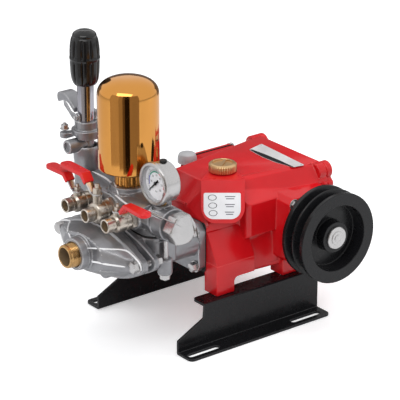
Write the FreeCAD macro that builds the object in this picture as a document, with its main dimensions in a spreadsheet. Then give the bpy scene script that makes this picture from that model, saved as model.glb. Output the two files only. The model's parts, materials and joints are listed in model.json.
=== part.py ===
import FreeCAD, Part
import math
import os
import Sketcher
from FreeCAD import Placement, Rotation, Vector

# Triplex plunger pump for a power sprayer, in millimetres.
# X runs from the valves (-X) to the crank end (+X), the pulley is on the -Y side, Z is up.
# The origin is on the ground, in the middle of the four base slots.

doc = FreeCAD.newDocument("TriplexPump")
sheet = doc.addObject("Spreadsheet::Sheet", "Sizes")

SIZES = {
    # base rails
    "rail_length": 291,
    "rail_slots_to_left_end": 142.5,
    "rail_web_spacing": 222,
    "rail_height": 73,
    "rail_sheet": 4,
    "rail_foot_width": 34,
    "rail_shelf_width": 34,
    "rail_nose_height": 24,
    "rail_slope_top": 50,
    "rail_shelf_start": 53.5,
    "rail_shelf_lead": 2,
    "rail_bend": 3.5,
    "rail_corner": 9,
    "base_slot_spacing": 212,
    "base_slot_length": 62,
    "base_slot_width": 11,
    "base_slot_offset": 19,
    "shelf_slot_width": 9,
    "shelf_slot_length": 36,
    "shelf_slot_offset": 20,
    "foot_bolt_front": -37,
    "foot_bolt_rear": 100,
    # crankcase, with heights above the rails
    "case_front": -55,
    "case_rear": 176,
    "case_flange": 8,
    "case_clearance": 18,
    "case_front_clearance": 38,
    "case_front_half": 70.5,
    "case_rear_half": 98,
    "case_bevel": 2.5,
    "case_crown_step": 4,
    "brow_bevel": 10,
    "case_brow_rise": 107,
    "case_crown_rise": 135,
    "case_crown_half": 27,
    "deck_rise": 173,
    "deck_start": 24,
    "deck_front_half": 46,
    "deck_rear_half": 80,
    "deck_round": 5,
    "deck_break": 0.13,
    "shoulder_front_drop": 50,
    "shoulder_rear_drop": 24,
    "guide_half": 72.5,
    "guide_bevel": 3,
    "guide_length": 59,
    "skirt_lead": 10,
    "skirt_half": 85,
    "gallery_start": 66,
    "gallery_half": 95,
    "gallery_bottom_rise": 84,
    "gallery_bevel": 14,
    "gallery_height": 56,
    "gallery_round": 9,
    "gallery_slope": 30,
    "housing_front": 50,
    "housing_rear": 46,
    "housing_half": 128,
    "housing_below": 56,
    "housing_above": 58,
    "housing_edge": 9,
    "case_foot_length": 36,
    "case_foot_inner": 67,
    "case_foot_outer": 99,
    "case_foot_height": 28,
    "cover_half_width": 100,
    "cover_below": 62,
    "cover_above": 74,
    "cover_corner": 20,
    "cover_low_corner": 14,
    "cover_thick": 12,
    "cover_dish": 7,
    "cover_dish_margin": 20,
    "cover_lug_radius": 15,
    "cover_lug_spacing": 164,
    "cover_lug_drop": 3,
    "cap_boss_x": 13,
    "cap_boss_y": -27,
    "cap_boss_radius": 21,
    "cap_boss_rise": 4,
    "boss_root": 16,
    # crank end and pulley
    "crank_x": 120,
    "crank_rise": 87,
    "shaft_radius": 14,
    "shaft_depth": 40,
    "shaft_fit": 0.05,
    "seal_radius": 44,
    "seal_thick": 5,
    "seal_edge": 2,
    "seal_gap": 0.5,
    "far_cover_thick": 8,
    "far_gasket_thick": 2,
    "far_gasket_margin": 0.8,
    "pulley_radius": 76,
    "pulley_width": 50,
    "pulley_face": 191,
    "pulley_groove_depth": 13,
    "pulley_groove_pitch": 19.5,
    "pulley_groove_mouth": 16.5,
    "pulley_groove_root": 8,
    "pulley_rim_inner": 55.8,
    "pulley_rim_draft": 3,
    "pulley_recess": 24,
    "pulley_web": 9,
    "pulley_hub_radius": 26,
    "pulley_hub_drop": 6,
    "pulley_hub_start": 4,
    "washer_radius": 18.7,
    "washer_thick": 4,
    # oil cap, tag and breather
    "cap_radius": 23,
    "cap_height": 15,
    "cap_neck_radius": 15,
    "cap_edge": 1.5,
    "cap_dish": 3,
    "cap_rim": 6,
    "tag_thick": 1.2,
    "tag_gap": 0.3,
    "tag_width": 70,
    "tag_reach": 38.5,
    "tag_back": 19,
    "tag_drop": 57,
    "tag_lean": 40.5,
    "tag_corner": 22,
    "breather_x": 32,
    "breather_y": 92,
    "breather_radius": 16,
    "breather_height": 22,
    "breather_seat": 9,
    "breather_seat_radius": 11,
    # cylinder block and suction cover
    "plunger_rise": 85,
    "head_x": -154,
    "cylinder_spacing": 46,
    "barrel_radius": 25,
    "block_flange": 14,
    "cast_lap": 1,
    "block_flange_below": 52,
    "block_flange_above": 32,
    "block_flange_corner": 11,
    "block_web": 8,
    "block_web_drop": 11,
    "block_web_half": 60,
    "head_front": 24,
    "head_rear": 30,
    "head_half": 87,
    "head_round": 24,
    "head_bevel": 4,
    "head_above": 40,
    "head_below": 40,
    "chamber_half": 72,
    "chamber_bevel": 22,
    "joint_front": 36,
    "joint_flange": 10,
    "ear_half": 93,
    "ear_radius": 12,
    "ear_height": 25,
    "ear_top_rise": 7,
    "suction_rise": 11,
    "suction_bolt_half": 101.5,
    "suction_high": 37,
    "suction_low": 44,
    "suction_ear_radius": 13,
    "suction_relief": 11,
    "suction_flange": 13,
    "suction_shoulder": 12,
    "suction_crown": 20,
    "suction_inner_half": 61,
    "suction_inner_trim": 2,
    "suction_inner_ear": 18,
    "suction_root_half": 87.3,
    "suction_root_trim": 1.5,
    "suction_slope_half": 77,
    "suction_slope_high": 33,
    "suction_slope_low": 39.5,
    "suction_slope_ear": 14.3,
    "suction_crown_half": 30.5,
    "suction_crown_high": 28,
    "suction_crown_low": 30,
    "suction_crown_ear": 22,
    "inlet_boss_radius": 27,
    "inlet_boss_length": 6,
    "inlet_radius": 19.5,
    "inlet_bore": 16.3,
    "inlet_length": 29,
    "inlet_collar_radius": 20.7,
    "inlet_collar_length": 6,
    "inlet_edge": 1.5,
    "drain_boss_radius": 14,
    "drain_boss_drop": 40,
    "drain_boss_offset": 4,
    "drain_boss_length": 20,
    # discharge manifold
    "gasket_height": 3,
    "manifold_radius": 27,
    "manifold_near": 116,
    "manifold_far": 92,
    "ridge_rise": 28,
    "ridge_offset": 7,
    "deck_near": 78,
    "deck_front": 32,
    "deck_fall": 6,
    "deck_step": 10,
    "deck_edge": 6,
    "manifold_ear_height": 21,
    "plug_width": 46,
    "plug_length": 20,
    "plug_stem_radius": 19,
    "plug_stem_length": 6,
    "plug_bevel": 2.5,
    "plug_bevel_depth": 4.25,
    "stud_radius": 5,
    "manifold_ear_radius": 14,
    "valve_boss_margin": 4,
    "dome_seat_rise": 35,
    "dome_seat_radius": 29,
    "dome_ring_radius": 33,
    "dome_ring_rise": 26.5,
    "gauge_boss_rise": 28,
    "gauge_boss_radius": 13,
    "gauge_pad_rise": 17,
    "gauge_pad_radius": 18,
    # air chamber
    "dome_radius": 49,
    "dome_height": 150.5,
    "dome_straight": 121,
    "dome_chamfer": 4,
    "dome_cheek_radius": 45.08,
    "dome_cheek_rise": 15.5,
    "dome_shoulder_radius": 31.85,
    "dome_shoulder_fall": 5,
    "dome_top_fall": 1.2,
    "collar_radius": 23,
    "collar_height": 26,
    "collar_lip": 6,
    "collar_flute": 4,
    # pressure gauge
    "gauge_y": -89,
    "gauge_rise": 65,
    "gauge_radius": 35,
    "gauge_face": -175,
    "gauge_depth": 33,
    "gauge_bezel": 7,
    "gauge_wall": 2.5,
    "gauge_lip": 6,
    "gauge_dial_depth": 9,
    "gauge_stem_x": -157,
    "gauge_stem_radius": 8,
    "gauge_plug_radius": 6,
    "gauge_plug_height": 3,
    "gauge_seat": 4,
    "gauge_fit": 0.5,
    "gauge_air": 0.1,
    "spindle_radius": 1.2,
    "spindle_length": 3,
    "needle_depth": 7.6,
    "needle_thick": 0.8,
    "needle_width": 2.6,
    "needle_hub": 3.5,
    "needle_length": 24,
    "needle_tail": 9,
    # discharge valves
    "valve_spacing": 54,
    "valve_base": 34,
    "valve_body_radius": 15,
    "valve_body_length": 38,
    "valve_end_radius": 10.6,
    "valve_bore": 7.5,
    "valve_reach": 89,
    "valve_hex_length": 9,
    "valve_edge": 3,
    "valve_stem_reach": 61.5,
    "valve_stem_rise": 18.2,
    "valve_neck_radius": 6.5,
    "lever_gap": 0.3,
    "lever_length": 77,
    "lever_width": 11,
    "lever_eye": 9,
    "lever_thick": 2.5,
    "lever_step_near": 16.5,
    "lever_step_far": 20.5,
    "lever_bend_start": 12,
    "grip_wall": 2,
    "grip_tip_width": 22,
    "grip_tip_round": 9,
    "grip_lap_near": 0.12,
    "grip_lap": 0.5,
    "nut_height": 10.5,
    "nut_radius": 5.6,
    "middle_valve_rise": 11.5,
    "middle_body_radius": 17.5,
    "middle_neck_radius": 8.5,
    "middle_lever_step": 24,
    "middle_lever_length": 90,
    "middle_lever_width": 13,
    "middle_nut_height": 16,
    "middle_nut_radius": 8,
    # pressure regulator
    "regulator_y": 116,
    "regulator_radius": 20.5,
    "regulator_neck_rise": 13,
    "regulator_neck_radius": 14,
    "regulator_below": 17,
    "regulator_height": 84,
    "regulator_insert": 16,
    "insert_radius": 17.5,
    "stub_root": 14,
    "regulator_stub_radius": 11.7,
    "regulator_stub_reach": 39,
    "regulator_stub_drop": 7,
    "window_width": 18,
    "window_length": 30,
    "window_depth": 3.5,
    "bonnet_flange": 9,
    "bonnet_ear_half": 34.5,
    "bonnet_ear_radius": 8,
    "bonnet_arm_half": 7.2,
    "bonnet_radius": 24,
    "bonnet_height": 14,
    "yoke_collar_radius": 18.5,
    "yoke_collar_height": 14,
    "yoke_ear_start": 14,
    "yoke_ear_thick": 3.5,
    "yoke_ear_half": 6,
    "tube_radius": 13.5,
    "tube_length": 101,
    "knob_overlap": 41,
    "knob_upper": 49,
    "knob_radius": 23.5,
    "knob_clear": 0.05,
    "knob_foot": 6,
    "knob_foot_draw": 5,
    "knob_step": 2,
    "knob_ring": 2,
    "knob_top_draw": 7,
    "knob_roof": 1,
    "knob_flute": 2.4,
    "knob_flute_margin": 14,
    "relief_pin_rise": 22,
    "relief_pin_radius": 3,
    "relief_arm": 3.6,
    "relief_reach": 20,
    "relief_length": 64,
    "relief_eye": 5,
    "relief_crown": 7,
    "relief_tip_low": 12,
    "relief_tip_high": 27,
    "relief_bend": 38.4,
    "relief_bend_high": 28,
    "relief_taper_end": 32,
    "relief_plate_half": 15,
    "relief_head": 1.5,
}


class Size:
    """A length of the sheet, or a sum or share of several, as a number and as an expression."""

    def __init__(self, value, text):
        self.value = float(value)
        self.text = text

    def __add__(self, other):
        return Size(self.value + number(other), f"({self.text} + {words(other)})")

    def __radd__(self, other):
        return Size(number(other) + self.value, f"({words(other)} + {self.text})")

    def __sub__(self, other):
        return Size(self.value - number(other), f"({self.text} - {words(other)})")

    def __rsub__(self, other):
        return Size(number(other) - self.value, f"({words(other)} - {self.text})")

    def __mul__(self, other):
        return Size(self.value * number(other), f"({self.text} * {words(other)})")

    def __rmul__(self, other):
        return Size(number(other) * self.value, f"({words(other)} * {self.text})")

    def __truediv__(self, other):
        return Size(self.value / number(other), f"({self.text} / {words(other)})")

    def __neg__(self):
        return Size(-self.value, f"(-1 * {self.text})")


def number(size):
    return size.value if isinstance(size, Size) else float(size)


def words(size):
    return size.text if isinstance(size, Size) else f"{float(size):.6f}"


class Sheet:
    """The sheet's sizes, read by their names."""


size = Sheet()
for row, (alias, value) in enumerate(SIZES.items(), start=1):
    sheet.set(f"A{row}", alias)
    sheet.set(f"B{row}", str(value))
    sheet.setAlias(f"B{row}", alias)
    setattr(size, alias, Size(value, f"Sizes.{alias}"))
doc.recompute()

pieces = []
NEARLY = 0.1


def bind(item, prop, amount):
    """Ties a property to the sheet where its amount comes from there."""
    if isinstance(amount, Size):
        item.setExpression(prop, amount.text)


def new_body(label, at=(0, 0, 0), turn=None):
    """A sub-part whose frame stands at the given place."""
    body = doc.addObject("PartDesign::Body", label)
    body.Label = label
    rotation = turn if turn else Rotation()
    body.Placement = Placement(Vector(*[number(c) for c in at]), rotation)
    for axis, amount in zip("xyz", at):
        bind(body, f"Placement.Base.{axis}", amount)
    pieces.append(body)
    return body


def origin_feature(body, role):
    return next(f for f in body.Origin.OriginFeatures if f.Role == role)


def new_sketch(body, role, offset=0, turn=None):
    """An empty sketch on one of the body's own origin planes, turned there and shifted along its normal."""
    sketch = body.newObject("Sketcher::SketchObject", f"{body.Label}_sketch")
    sketch.AttachmentSupport = (origin_feature(body, role), [""])
    sketch.MapMode = "FlatFace"
    rotation = turn if turn else Rotation()
    normal = rotation.multVec(Vector(0, 0, 1))
    sketch.AttachmentOffset = Placement(normal * number(offset), rotation)
    for axis, share in zip("xyz", normal):
        if abs(share) > NEARLY:
            bind(sketch, f"AttachmentOffset.Base.{axis}", share * offset)
    return sketch


def pin(sketch, geometry, end, point):
    """Ties one end of an edge to its place from the sketch's origin."""
    for kind, amount in zip(("DistanceX", "DistanceY"), point):
        index = sketch.addConstraint(Sketcher.Constraint(kind, -1, 1, geometry, end, number(amount)))
        bind(sketch, f"Constraints[{index}]", amount)


def rule(sketch, kind, geometry, amount):
    index = sketch.addConstraint(Sketcher.Constraint(kind, geometry, number(amount)))
    bind(sketch, f"Constraints[{index}]", amount)


def flat(point):
    return Vector(number(point[0]), number(point[1]), 0)


def polygon(sketch, points):
    """A closed outline of straight edges."""
    first = sketch.GeometryCount
    count = len(points)
    corners = [flat(p) for p in points]
    for i in range(count):
        sketch.addGeometry(Part.LineSegment(corners[i], corners[(i + 1) % count]), False)
    for i in range(count):
        follower = first + (i + 1) % count
        sketch.addConstraint(Sketcher.Constraint("Coincident", first + i, 2, follower, 1))
        pin(sketch, first + i, 1, points[i])
    return sketch


def outline(sketch, steps):
    """A closed outline. A step is a corner or an arc (point passed, next corner, way, centre's place)."""
    first = sketch.GeometryCount
    count = len(steps)
    corners = [step[1] if isinstance(step[1], tuple) else step for step in steps]
    for i in range(count):
        start = corners[i]
        step = steps[(i + 1) % count]
        if isinstance(step[1], tuple):
            index = sketch.addGeometry(Part.ArcOfCircle(flat(start), flat(step[0]), flat(step[1])), False)
            held = sketch.addConstraint(Sketcher.Constraint(step[2], -1, 1, index, 3, number(step[3])))
            bind(sketch, f"Constraints[{held}]", step[3])
        else:
            sketch.addGeometry(Part.LineSegment(flat(start), flat(step)), False)
    for i in range(count):
        start_end = nearest_end(sketch, first + i, flat(corners[i]))
        before = first + (i - 1) % count
        before_end = nearest_end(sketch, before, flat(corners[i]))
        sketch.addConstraint(Sketcher.Constraint("Coincident", before, before_end, first + i, start_end))
        pin(sketch, first + i, start_end, corners[i])
    return sketch


def nearest_end(sketch, geometry, point):
    """Which end of an edge lies at the point: 1 for its start, 2 for its end."""
    edge = sketch.Geometry[geometry]
    return 1 if edge.StartPoint.distanceToPoint(point) < edge.EndPoint.distanceToPoint(point) else 2


def circle(sketch, centre, radius):
    index = sketch.addGeometry(Part.Circle(flat(centre), Vector(0, 0, 1), number(radius)), False)
    pin(sketch, index, 3, centre)
    rule(sketch, "Radius", index, radius)
    return sketch


def arc(sketch, centre, radius, start, end):
    """Adds an arc from one angle to another and gives its number."""
    round_edge = Part.Circle(flat(centre), Vector(0, 0, 1), number(radius))
    return sketch.addGeometry(Part.ArcOfCircle(round_edge, start, end), False)


def smooth(sketch, one, one_end, other, other_end):
    sketch.addConstraint(Sketcher.Constraint("Tangent", one, one_end, other, other_end))


def slot(sketch, centre, length, width):
    """A slot with round ends whose long way is along the sketch's first axis."""
    x, y = centre
    half = (length - width) / 2
    radius = width / 2
    left = (x - half, y)
    right = (x + half, y)
    quarter = math.pi / 2
    a = arc(sketch, left, radius, quarter, 3 * quarter)
    b = arc(sketch, right, radius, -quarter, quarter)
    low = Vector(0, -number(radius), 0)
    high = Vector(0, number(radius), 0)
    c = sketch.addGeometry(Part.LineSegment(flat(left) + low, flat(right) + low), False)
    d = sketch.addGeometry(Part.LineSegment(flat(right) + high, flat(left) + high), False)
    for one, end, other, start in ((a, 2, c, 1), (c, 2, b, 1), (b, 2, d, 1), (d, 2, a, 1)):
        smooth(sketch, one, end, other, start)
    pin(sketch, a, 3, left)
    pin(sketch, b, 3, right)
    rule(sketch, "Radius", a, radius)
    return sketch


def lens(sketch, level, half, high, low, ear):
    """A lens at a level: two long arcs, joined by an ear at each end of the first axis."""
    drop = bow_drop(half, high - ear)
    lift = bow_drop(half, low - ear)
    lean = math.atan2(number(drop), number(half))
    under = math.atan2(number(lift), number(half))
    right = arc(sketch, (half, level), ear, -under, lean)
    top = arc(sketch, (0, level - drop), drop + high, lean, math.pi - lean)
    left = arc(sketch, (-half, level), ear, math.pi - lean, math.pi + under)
    bottom = arc(sketch, (0, level + lift), lift + low, math.pi + under, 2 * math.pi - under)
    for one, other in ((right, top), (top, left), (left, bottom), (bottom, right)):
        smooth(sketch, one, 2, other, 1)
    pin(sketch, right, 3, (half, level))
    pin(sketch, left, 3, (-half, level))
    rule(sketch, "Radius", right, ear)
    rule(sketch, "Radius", left, ear)
    for index, height in ((top, level - drop), (bottom, level + lift)):
        held = sketch.addConstraint(Sketcher.Constraint("DistanceY", -1, 1, index, 3, number(height)))
        bind(sketch, f"Constraints[{held}]", height)
    return sketch


def bow_drop(half, rise):
    """How far beyond the middle line the centre of a long arc lies, for its half span and its rise."""
    return (half * half - rise * rise) / (2 * rise)


def feature(body, kind, sketch, **settings):
    """A sketch-based feature; sizes among its settings are tied to the sheet."""
    item = body.newObject(f"PartDesign::{kind}", f"{body.Label}_{kind.lower()}")
    item.Profile = sketch
    for prop, amount in settings.items():
        if isinstance(amount, Size):
            setattr(item, prop, amount.value)
            bind(item, prop, amount)
        else:
            setattr(item, prop, amount)
    sketch.Visibility = False
    return item


def pad(body, sketch, length, back=False, both=False):
    return feature(body, "Pad", sketch, Length=length, Reversed=back, Midplane=both)


def pocket(body, sketch, length, back=False, both=False):
    return feature(body, "Pocket", sketch, Length=length, Reversed=back, Midplane=both)


def through(body, sketch):
    """A cut through everything, both ways."""
    return feature(body, "Pocket", sketch, Type="ThroughAll", Midplane=True)


def spin(body, sketch, axis="V_Axis"):
    item = feature(body, "Revolution", sketch, Angle=360.0)
    item.ReferenceAxis = (sketch, [axis])
    return item


def spin_cut(body, sketch):
    item = feature(body, "Groove", sketch, Angle=360.0)
    item.ReferenceAxis = (sketch, ["V_Axis"])
    return item


def loft(body, sketches):
    item = feature(body, "AdditiveLoft", sketches[0])
    item.Sections = sketches[1:]
    item.Ruled = True
    return item


def around(body, item, count):
    """Repeats a feature round the body's own Z axis."""
    pattern = body.newObject("PartDesign::PolarPattern", f"{body.Label}_pattern")
    pattern.Originals = [item]
    pattern.Axis = (origin_feature(body, "Z_Axis"), [""])
    pattern.Angle = 360
    pattern.Occurrences = count
    body.Tip = pattern
    return pattern


def along(edge, direction):
    """True for a straight edge that runs along the given direction."""
    if not isinstance(edge.Curve, Part.Line):
        return False
    return abs(abs(edge.Curve.Direction.dot(Vector(*direction))) - 1) < 1e-6


def fillet(body, test, radius):
    """A fillet on the body's edges that pass the test."""
    doc.recompute()
    base = body.Tip
    names = [f"Edge{i}" for i, edge in enumerate(base.Shape.Edges, start=1) if test(edge)]
    item = body.newObject("PartDesign::Fillet", f"{body.Label}_fillet")
    item.Base = (base, names)
    item.Radius = number(radius)
    bind(item, "Radius", radius)
    return item


def turned(label, profile, at=(0, 0, 0), turn=None):
    """A piece turned from a half profile of (radius, height) points about its own Z axis."""
    body = new_body(label, at, turn)
    spin(body, polygon(new_sketch(body, "XZ_Plane"), profile))
    return body


def mirrored(points):
    """The points, then the same points across the first axis's zero, in turn order."""
    return list(points) + [(-x, y) for x, y in reversed(points)]


def hex_points(across):
    """Corners of a hexagon with the given width across its flats."""
    corner = across / math.sqrt(3)
    turns = [math.radians(60 * i) for i in range(6)]
    return [(corner * math.cos(t), corner * math.sin(t)) for t in turns]


ALONG_MINUS_X = Rotation(Vector(0, 1, 0), -90)
ALONG_MINUS_Y = Rotation(Vector(1, 0, 0), 90)
VIEWER_TURN = 37.8
TO_VIEWER = Rotation(Vector(0, 0, 1), -VIEWER_TURN)
BONNET_TURN = -29.5
NEEDLE_REST = -45
INCLINE = 0.9
ARCH_RISE = 0.8
GRIP_ASIDE = 0.74
GRIP_DOWN = 0.67
NUT_SHOULDER = 0.55
NUT_CROWN = 0.88
NUT_CROWN_WIDTH = 0.75
NUT_TOP_WIDTH = 0.3
COLLAR_FLUTES = 12
KNOB_FLUTES = 16
TAG_FACETS = 6
NEAR = -1
FAR = 1

rail_top = size.rail_height
case_low = rail_top + size.case_clearance
front_low = rail_top + size.case_front_clearance
deck_top = rail_top + size.deck_rise
crank_z = rail_top + size.crank_rise
plunger_z = rail_top + size.plunger_rise
suction_z = plunger_z + size.suction_rise
head_top = plunger_z + size.head_above
manifold_low = head_top + size.gasket_height
manifold_z = manifold_low + size.manifold_radius


# Base rails
def base_rail(label, side):
    """A Z-section rail bent from sheet steel: foot outwards, web, shelf inwards."""
    web = side * size.rail_web_spacing / 2
    sheet_inner = side * (size.rail_web_spacing / 2 - size.rail_sheet)
    left = -size.rail_slots_to_left_end
    right = left + size.rail_length
    shelf_start = left + size.rail_shelf_start
    body = new_body(label)
    web_sketch = polygon(new_sketch(body, "XZ_Plane", -web), [
        (left, 0), (right, 0), (right, rail_top), (shelf_start, rail_top),
        (shelf_start - size.rail_shelf_lead, size.rail_slope_top), (left, size.rail_nose_height),
    ])
    pad(body, web_sketch, size.rail_sheet, back=side == NEAR)
    foot = new_sketch(body, "XY_Plane")
    edge = web + side * size.rail_foot_width
    polygon(foot, [(left, sheet_inner), (right, sheet_inner), (right, edge), (left, edge)])
    for place in (-size.base_slot_spacing / 2, size.base_slot_spacing / 2):
        slot(foot, (place, web + side * size.base_slot_offset), size.base_slot_length, size.base_slot_width)
    pad(body, foot, size.rail_sheet)
    shelf = new_sketch(body, "XY_Plane", rail_top - size.rail_sheet)
    rim = web - side * size.rail_shelf_width
    polygon(shelf, [(shelf_start, web), (right, web), (right, rim), (shelf_start, rim)])
    slot_line = web - side * size.shelf_slot_offset
    for place in (size.foot_bolt_front, size.foot_bolt_rear):
        slot(shelf, (place, slot_line), size.shelf_slot_length, size.shelf_slot_width)
    pad(body, shelf, size.rail_sheet)

    def at_corner(e, y):
        return along(e, (0, 0, 1)) and abs(e.CenterOfMass.y - number(y)) < NEARLY

    def at_bend(e, y, z):
        centre = e.CenterOfMass
        beside = abs(centre.y - number(y)) < NEARLY and abs(centre.z - number(z)) < NEARLY
        return along(e, (1, 0, 0)) and beside

    fillet(body, lambda e: at_corner(e, edge) or at_corner(e, rim), size.rail_corner)
    fillet(body, lambda e: at_bend(e, sheet_inner, 0) or at_bend(e, web, rail_top), size.rail_bend)
    return body


base_rail("rail_near", NEAR)
base_rail("rail_far", FAR)


# Crankcase
deck_x = size.case_front + size.deck_start
cover_low = crank_z - size.cover_below
cover_top = crank_z + size.cover_above
lug_z = cover_top - size.cover_lug_drop
gallery_low = rail_top + size.gallery_bottom_rise
gallery_top = gallery_low + size.gallery_height
boss_top = deck_top + size.cap_boss_rise
brow = rail_top + size.case_brow_rise
crown = rail_top + size.case_crown_rise


def case_section(body, x, low, half, bevel, shoulder_half):
    """A cross-section of the crankcase behind its sloped front, with the deck widening to the rear."""
    share = (x - deck_x) / (size.case_rear - deck_x)
    deck_half = size.deck_front_half + share * (size.deck_rear_half - size.deck_front_half)
    drop = size.shoulder_front_drop - share * (size.shoulder_front_drop - size.shoulder_rear_drop)
    shoulder = (shoulder_half, deck_top - drop)
    return section_points(body, x, low, half, bevel, shoulder, (deck_half, deck_top))


def section_points(body, x, low, half, bevel, shoulder, edge):
    """A section with bevelled keel, a side up to its shoulder, and a broken edge at the top."""
    share = size.deck_break
    broken = (edge[0] + share * (shoulder[0] - edge[0]), edge[1] - share * (edge[1] - shoulder[1]))
    return polygon(new_sketch(body, "YZ_Plane", x), mirrored([
        (half - bevel, low), (half, low + bevel), shoulder, broken, (edge[0] - size.deck_round, edge[1]),
    ]))


def cover_outline(sketch, inset):
    """The outline that the crankcase's rear and its cover share, drawn in by the inset."""
    half = size.cover_half_width - inset
    low = cover_low + inset
    high = cover_top - inset
    return polygon(sketch, mirrored([
        (half - size.cover_low_corner, low), (half, low + size.cover_low_corner),
        (half, high - size.cover_corner), (half - size.cover_corner, high),
    ]))


def crankcase():
    """The cast crankcase: wedge body, front flange, crank housings, side galleries and feet."""
    body = new_body("crankcase")
    front = size.case_front
    half = size.case_front_half
    guide_end = front + size.guide_length
    skirt_start = guide_end + size.skirt_lead
    foremost = section_points(body, front, front_low, half, size.guide_bevel,
                              (half, brow), (size.case_crown_half, crown - size.case_crown_step))
    rear_half = size.case_rear_half
    loft(body, [
        foremost,
        case_section(body, deck_x, front_low, size.guide_half, size.guide_bevel, size.guide_half),
        case_section(body, guide_end, front_low, size.guide_half, size.guide_bevel, size.guide_half),
        case_section(body, skirt_start, case_low, size.skirt_half, size.case_bevel, size.guide_half),
        case_section(body, size.case_rear, case_low, rear_half, size.case_bevel, rear_half),
    ])
    g = size.gallery_half
    gallery_front = front + size.gallery_start
    gallery = polygon(new_sketch(body, "YZ_Plane", gallery_front), mirrored([
        (g - size.gallery_slope, gallery_low - size.gallery_bevel), (g, gallery_low),
        (g, gallery_top), (g - size.gallery_slope, gallery_top + size.gallery_bevel),
    ]))
    pad(body, gallery, size.crank_x - gallery_front)

    def gallery_corner(e):
        centre = e.CenterOfMass
        foremost_edge = abs(centre.x - number(gallery_front)) < NEARLY
        return along(e, (0, 0, 1)) and foremost_edge and abs(abs(centre.y) - number(g)) < NEARLY

    fillet(body, gallery_corner, size.gallery_round)
    housings = housing_outline(new_sketch(body, "XZ_Plane"), size.crank_x, 0)
    pad(body, housings, 2 * size.housing_half, both=True)
    b = size.brow_bevel
    crest = size.case_crown_half
    flange = polygon(new_sketch(body, "YZ_Plane", front), mirrored([
        (half, front_low), (half, brow - b), (half - b, brow), (crest + b, brow + b),
        (crest, crown - b), (crest - b, crown),
    ]))
    pad(body, flange, size.case_flange)
    pad(body, cover_outline(new_sketch(body, "YZ_Plane", size.case_rear), 0), size.case_flange, back=True)
    for side in (NEAR, FAR):
        lug = new_sketch(body, "YZ_Plane", size.case_rear)
        circle(lug, (side * size.cover_lug_spacing / 2, lug_z), size.cover_lug_radius)
        pad(body, lug, 2 * size.case_flange, back=True)
        inner = side * size.case_foot_inner
        outer = side * size.case_foot_outer
        foot_half = size.case_foot_length / 2
        front_foot = polygon(new_sketch(body, "YZ_Plane", size.foot_bolt_front - foot_half), [
            (inner, rail_top), (outer, rail_top), (outer, rail_top + size.case_foot_height),
            (side * size.guide_half, front_low + size.guide_bevel / 2),
            (inner, front_low + size.guide_bevel),
        ])
        pad(body, front_foot, size.case_foot_length)
        rear_foot = polygon(new_sketch(body, "YZ_Plane", size.foot_bolt_rear - foot_half), [
            (inner, rail_top), (outer, rail_top), (outer, rail_top + size.case_foot_height),
            (inner, rail_top + size.case_foot_height + size.case_bevel),
        ])
        pad(body, rear_foot, size.case_foot_length)
    boss = new_sketch(body, "XY_Plane", deck_top - size.boss_root)
    circle(boss, (size.cap_boss_x, size.cap_boss_y), size.cap_boss_radius)
    pad(body, boss, size.boss_root + size.cap_boss_rise)
    bore = new_sketch(body, "XZ_Plane", size.housing_half)
    circle(bore, (size.crank_x, crank_z), size.shaft_radius + size.shaft_fit)
    pocket(body, bore, size.shaft_depth)
    breather_seat = new_sketch(body, "XY_Plane", gallery_top - size.boss_root)
    circle(breather_seat, (size.breather_x, size.breather_y), size.breather_seat_radius)
    pad(body, breather_seat, size.boss_root + size.breather_seat)
    return body


def housing_outline(sketch, x, reach):
    """The bevelled outline of a crank housing, grown by the reach."""
    left = x - size.housing_front - reach
    right = x + size.housing_rear + reach
    low = crank_z - size.housing_below - reach
    high = crank_z + size.housing_above + reach
    cut = size.housing_edge
    return polygon(sketch, [
        (left + cut, low), (right - cut, low), (right, low + cut), (right, high - cut),
        (right - cut, high), (left + cut, high), (left, high - cut), (left, low + cut),
    ])


crankcase()


def rear_cover():
    """The dished cover that closes the crank chamber."""
    body = new_body("rear_cover", (size.case_rear, 0, 0))
    pad(body, cover_outline(new_sketch(body, "YZ_Plane"), 0), size.cover_thick)
    for side in (NEAR, FAR):
        lug = new_sketch(body, "YZ_Plane")
        circle(lug, (side * size.cover_lug_spacing / 2, lug_z), size.cover_lug_radius)
        pad(body, lug, size.cover_thick)
    dish = cover_outline(new_sketch(body, "YZ_Plane", size.cover_thick), size.cover_dish_margin)
    pad(body, dish, size.cover_dish)
    return body


rear_cover()


def side_plate(label, thick, start, reach):
    """A plate with the far crank housing's outline, its inner face at the given distance."""
    body = new_body(label, (size.crank_x, start, 0))
    pad(body, housing_outline(new_sketch(body, "XZ_Plane"), 0, reach), thick, back=True)
    return body


side_plate("far_gasket", size.far_gasket_thick, size.housing_half, size.far_gasket_margin)
side_plate("far_bearing_cover", size.far_cover_thick, size.housing_half + size.far_gasket_thick, 0)

seal_inner = size.shaft_radius + size.seal_gap
turned("near_seal_ring", [
    (seal_inner, 0), (size.seal_radius, 0), (size.seal_radius, size.seal_thick - size.seal_edge),
    (size.seal_radius - size.seal_edge, size.seal_thick), (seal_inner, size.seal_thick),
], (size.crank_x, -size.housing_half, crank_z), ALONG_MINUS_Y)


# Crank end, pulley and its washer
shaft_start = size.seal_gap - size.shaft_depth
shaft_reach = size.pulley_face - size.pulley_hub_drop - size.housing_half
turned("crankshaft", [
    (0, shaft_start), (size.shaft_radius, shaft_start), (size.shaft_radius, shaft_reach), (0, shaft_reach),
], (size.crank_x, -size.housing_half, crank_z), ALONG_MINUS_Y)


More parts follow.
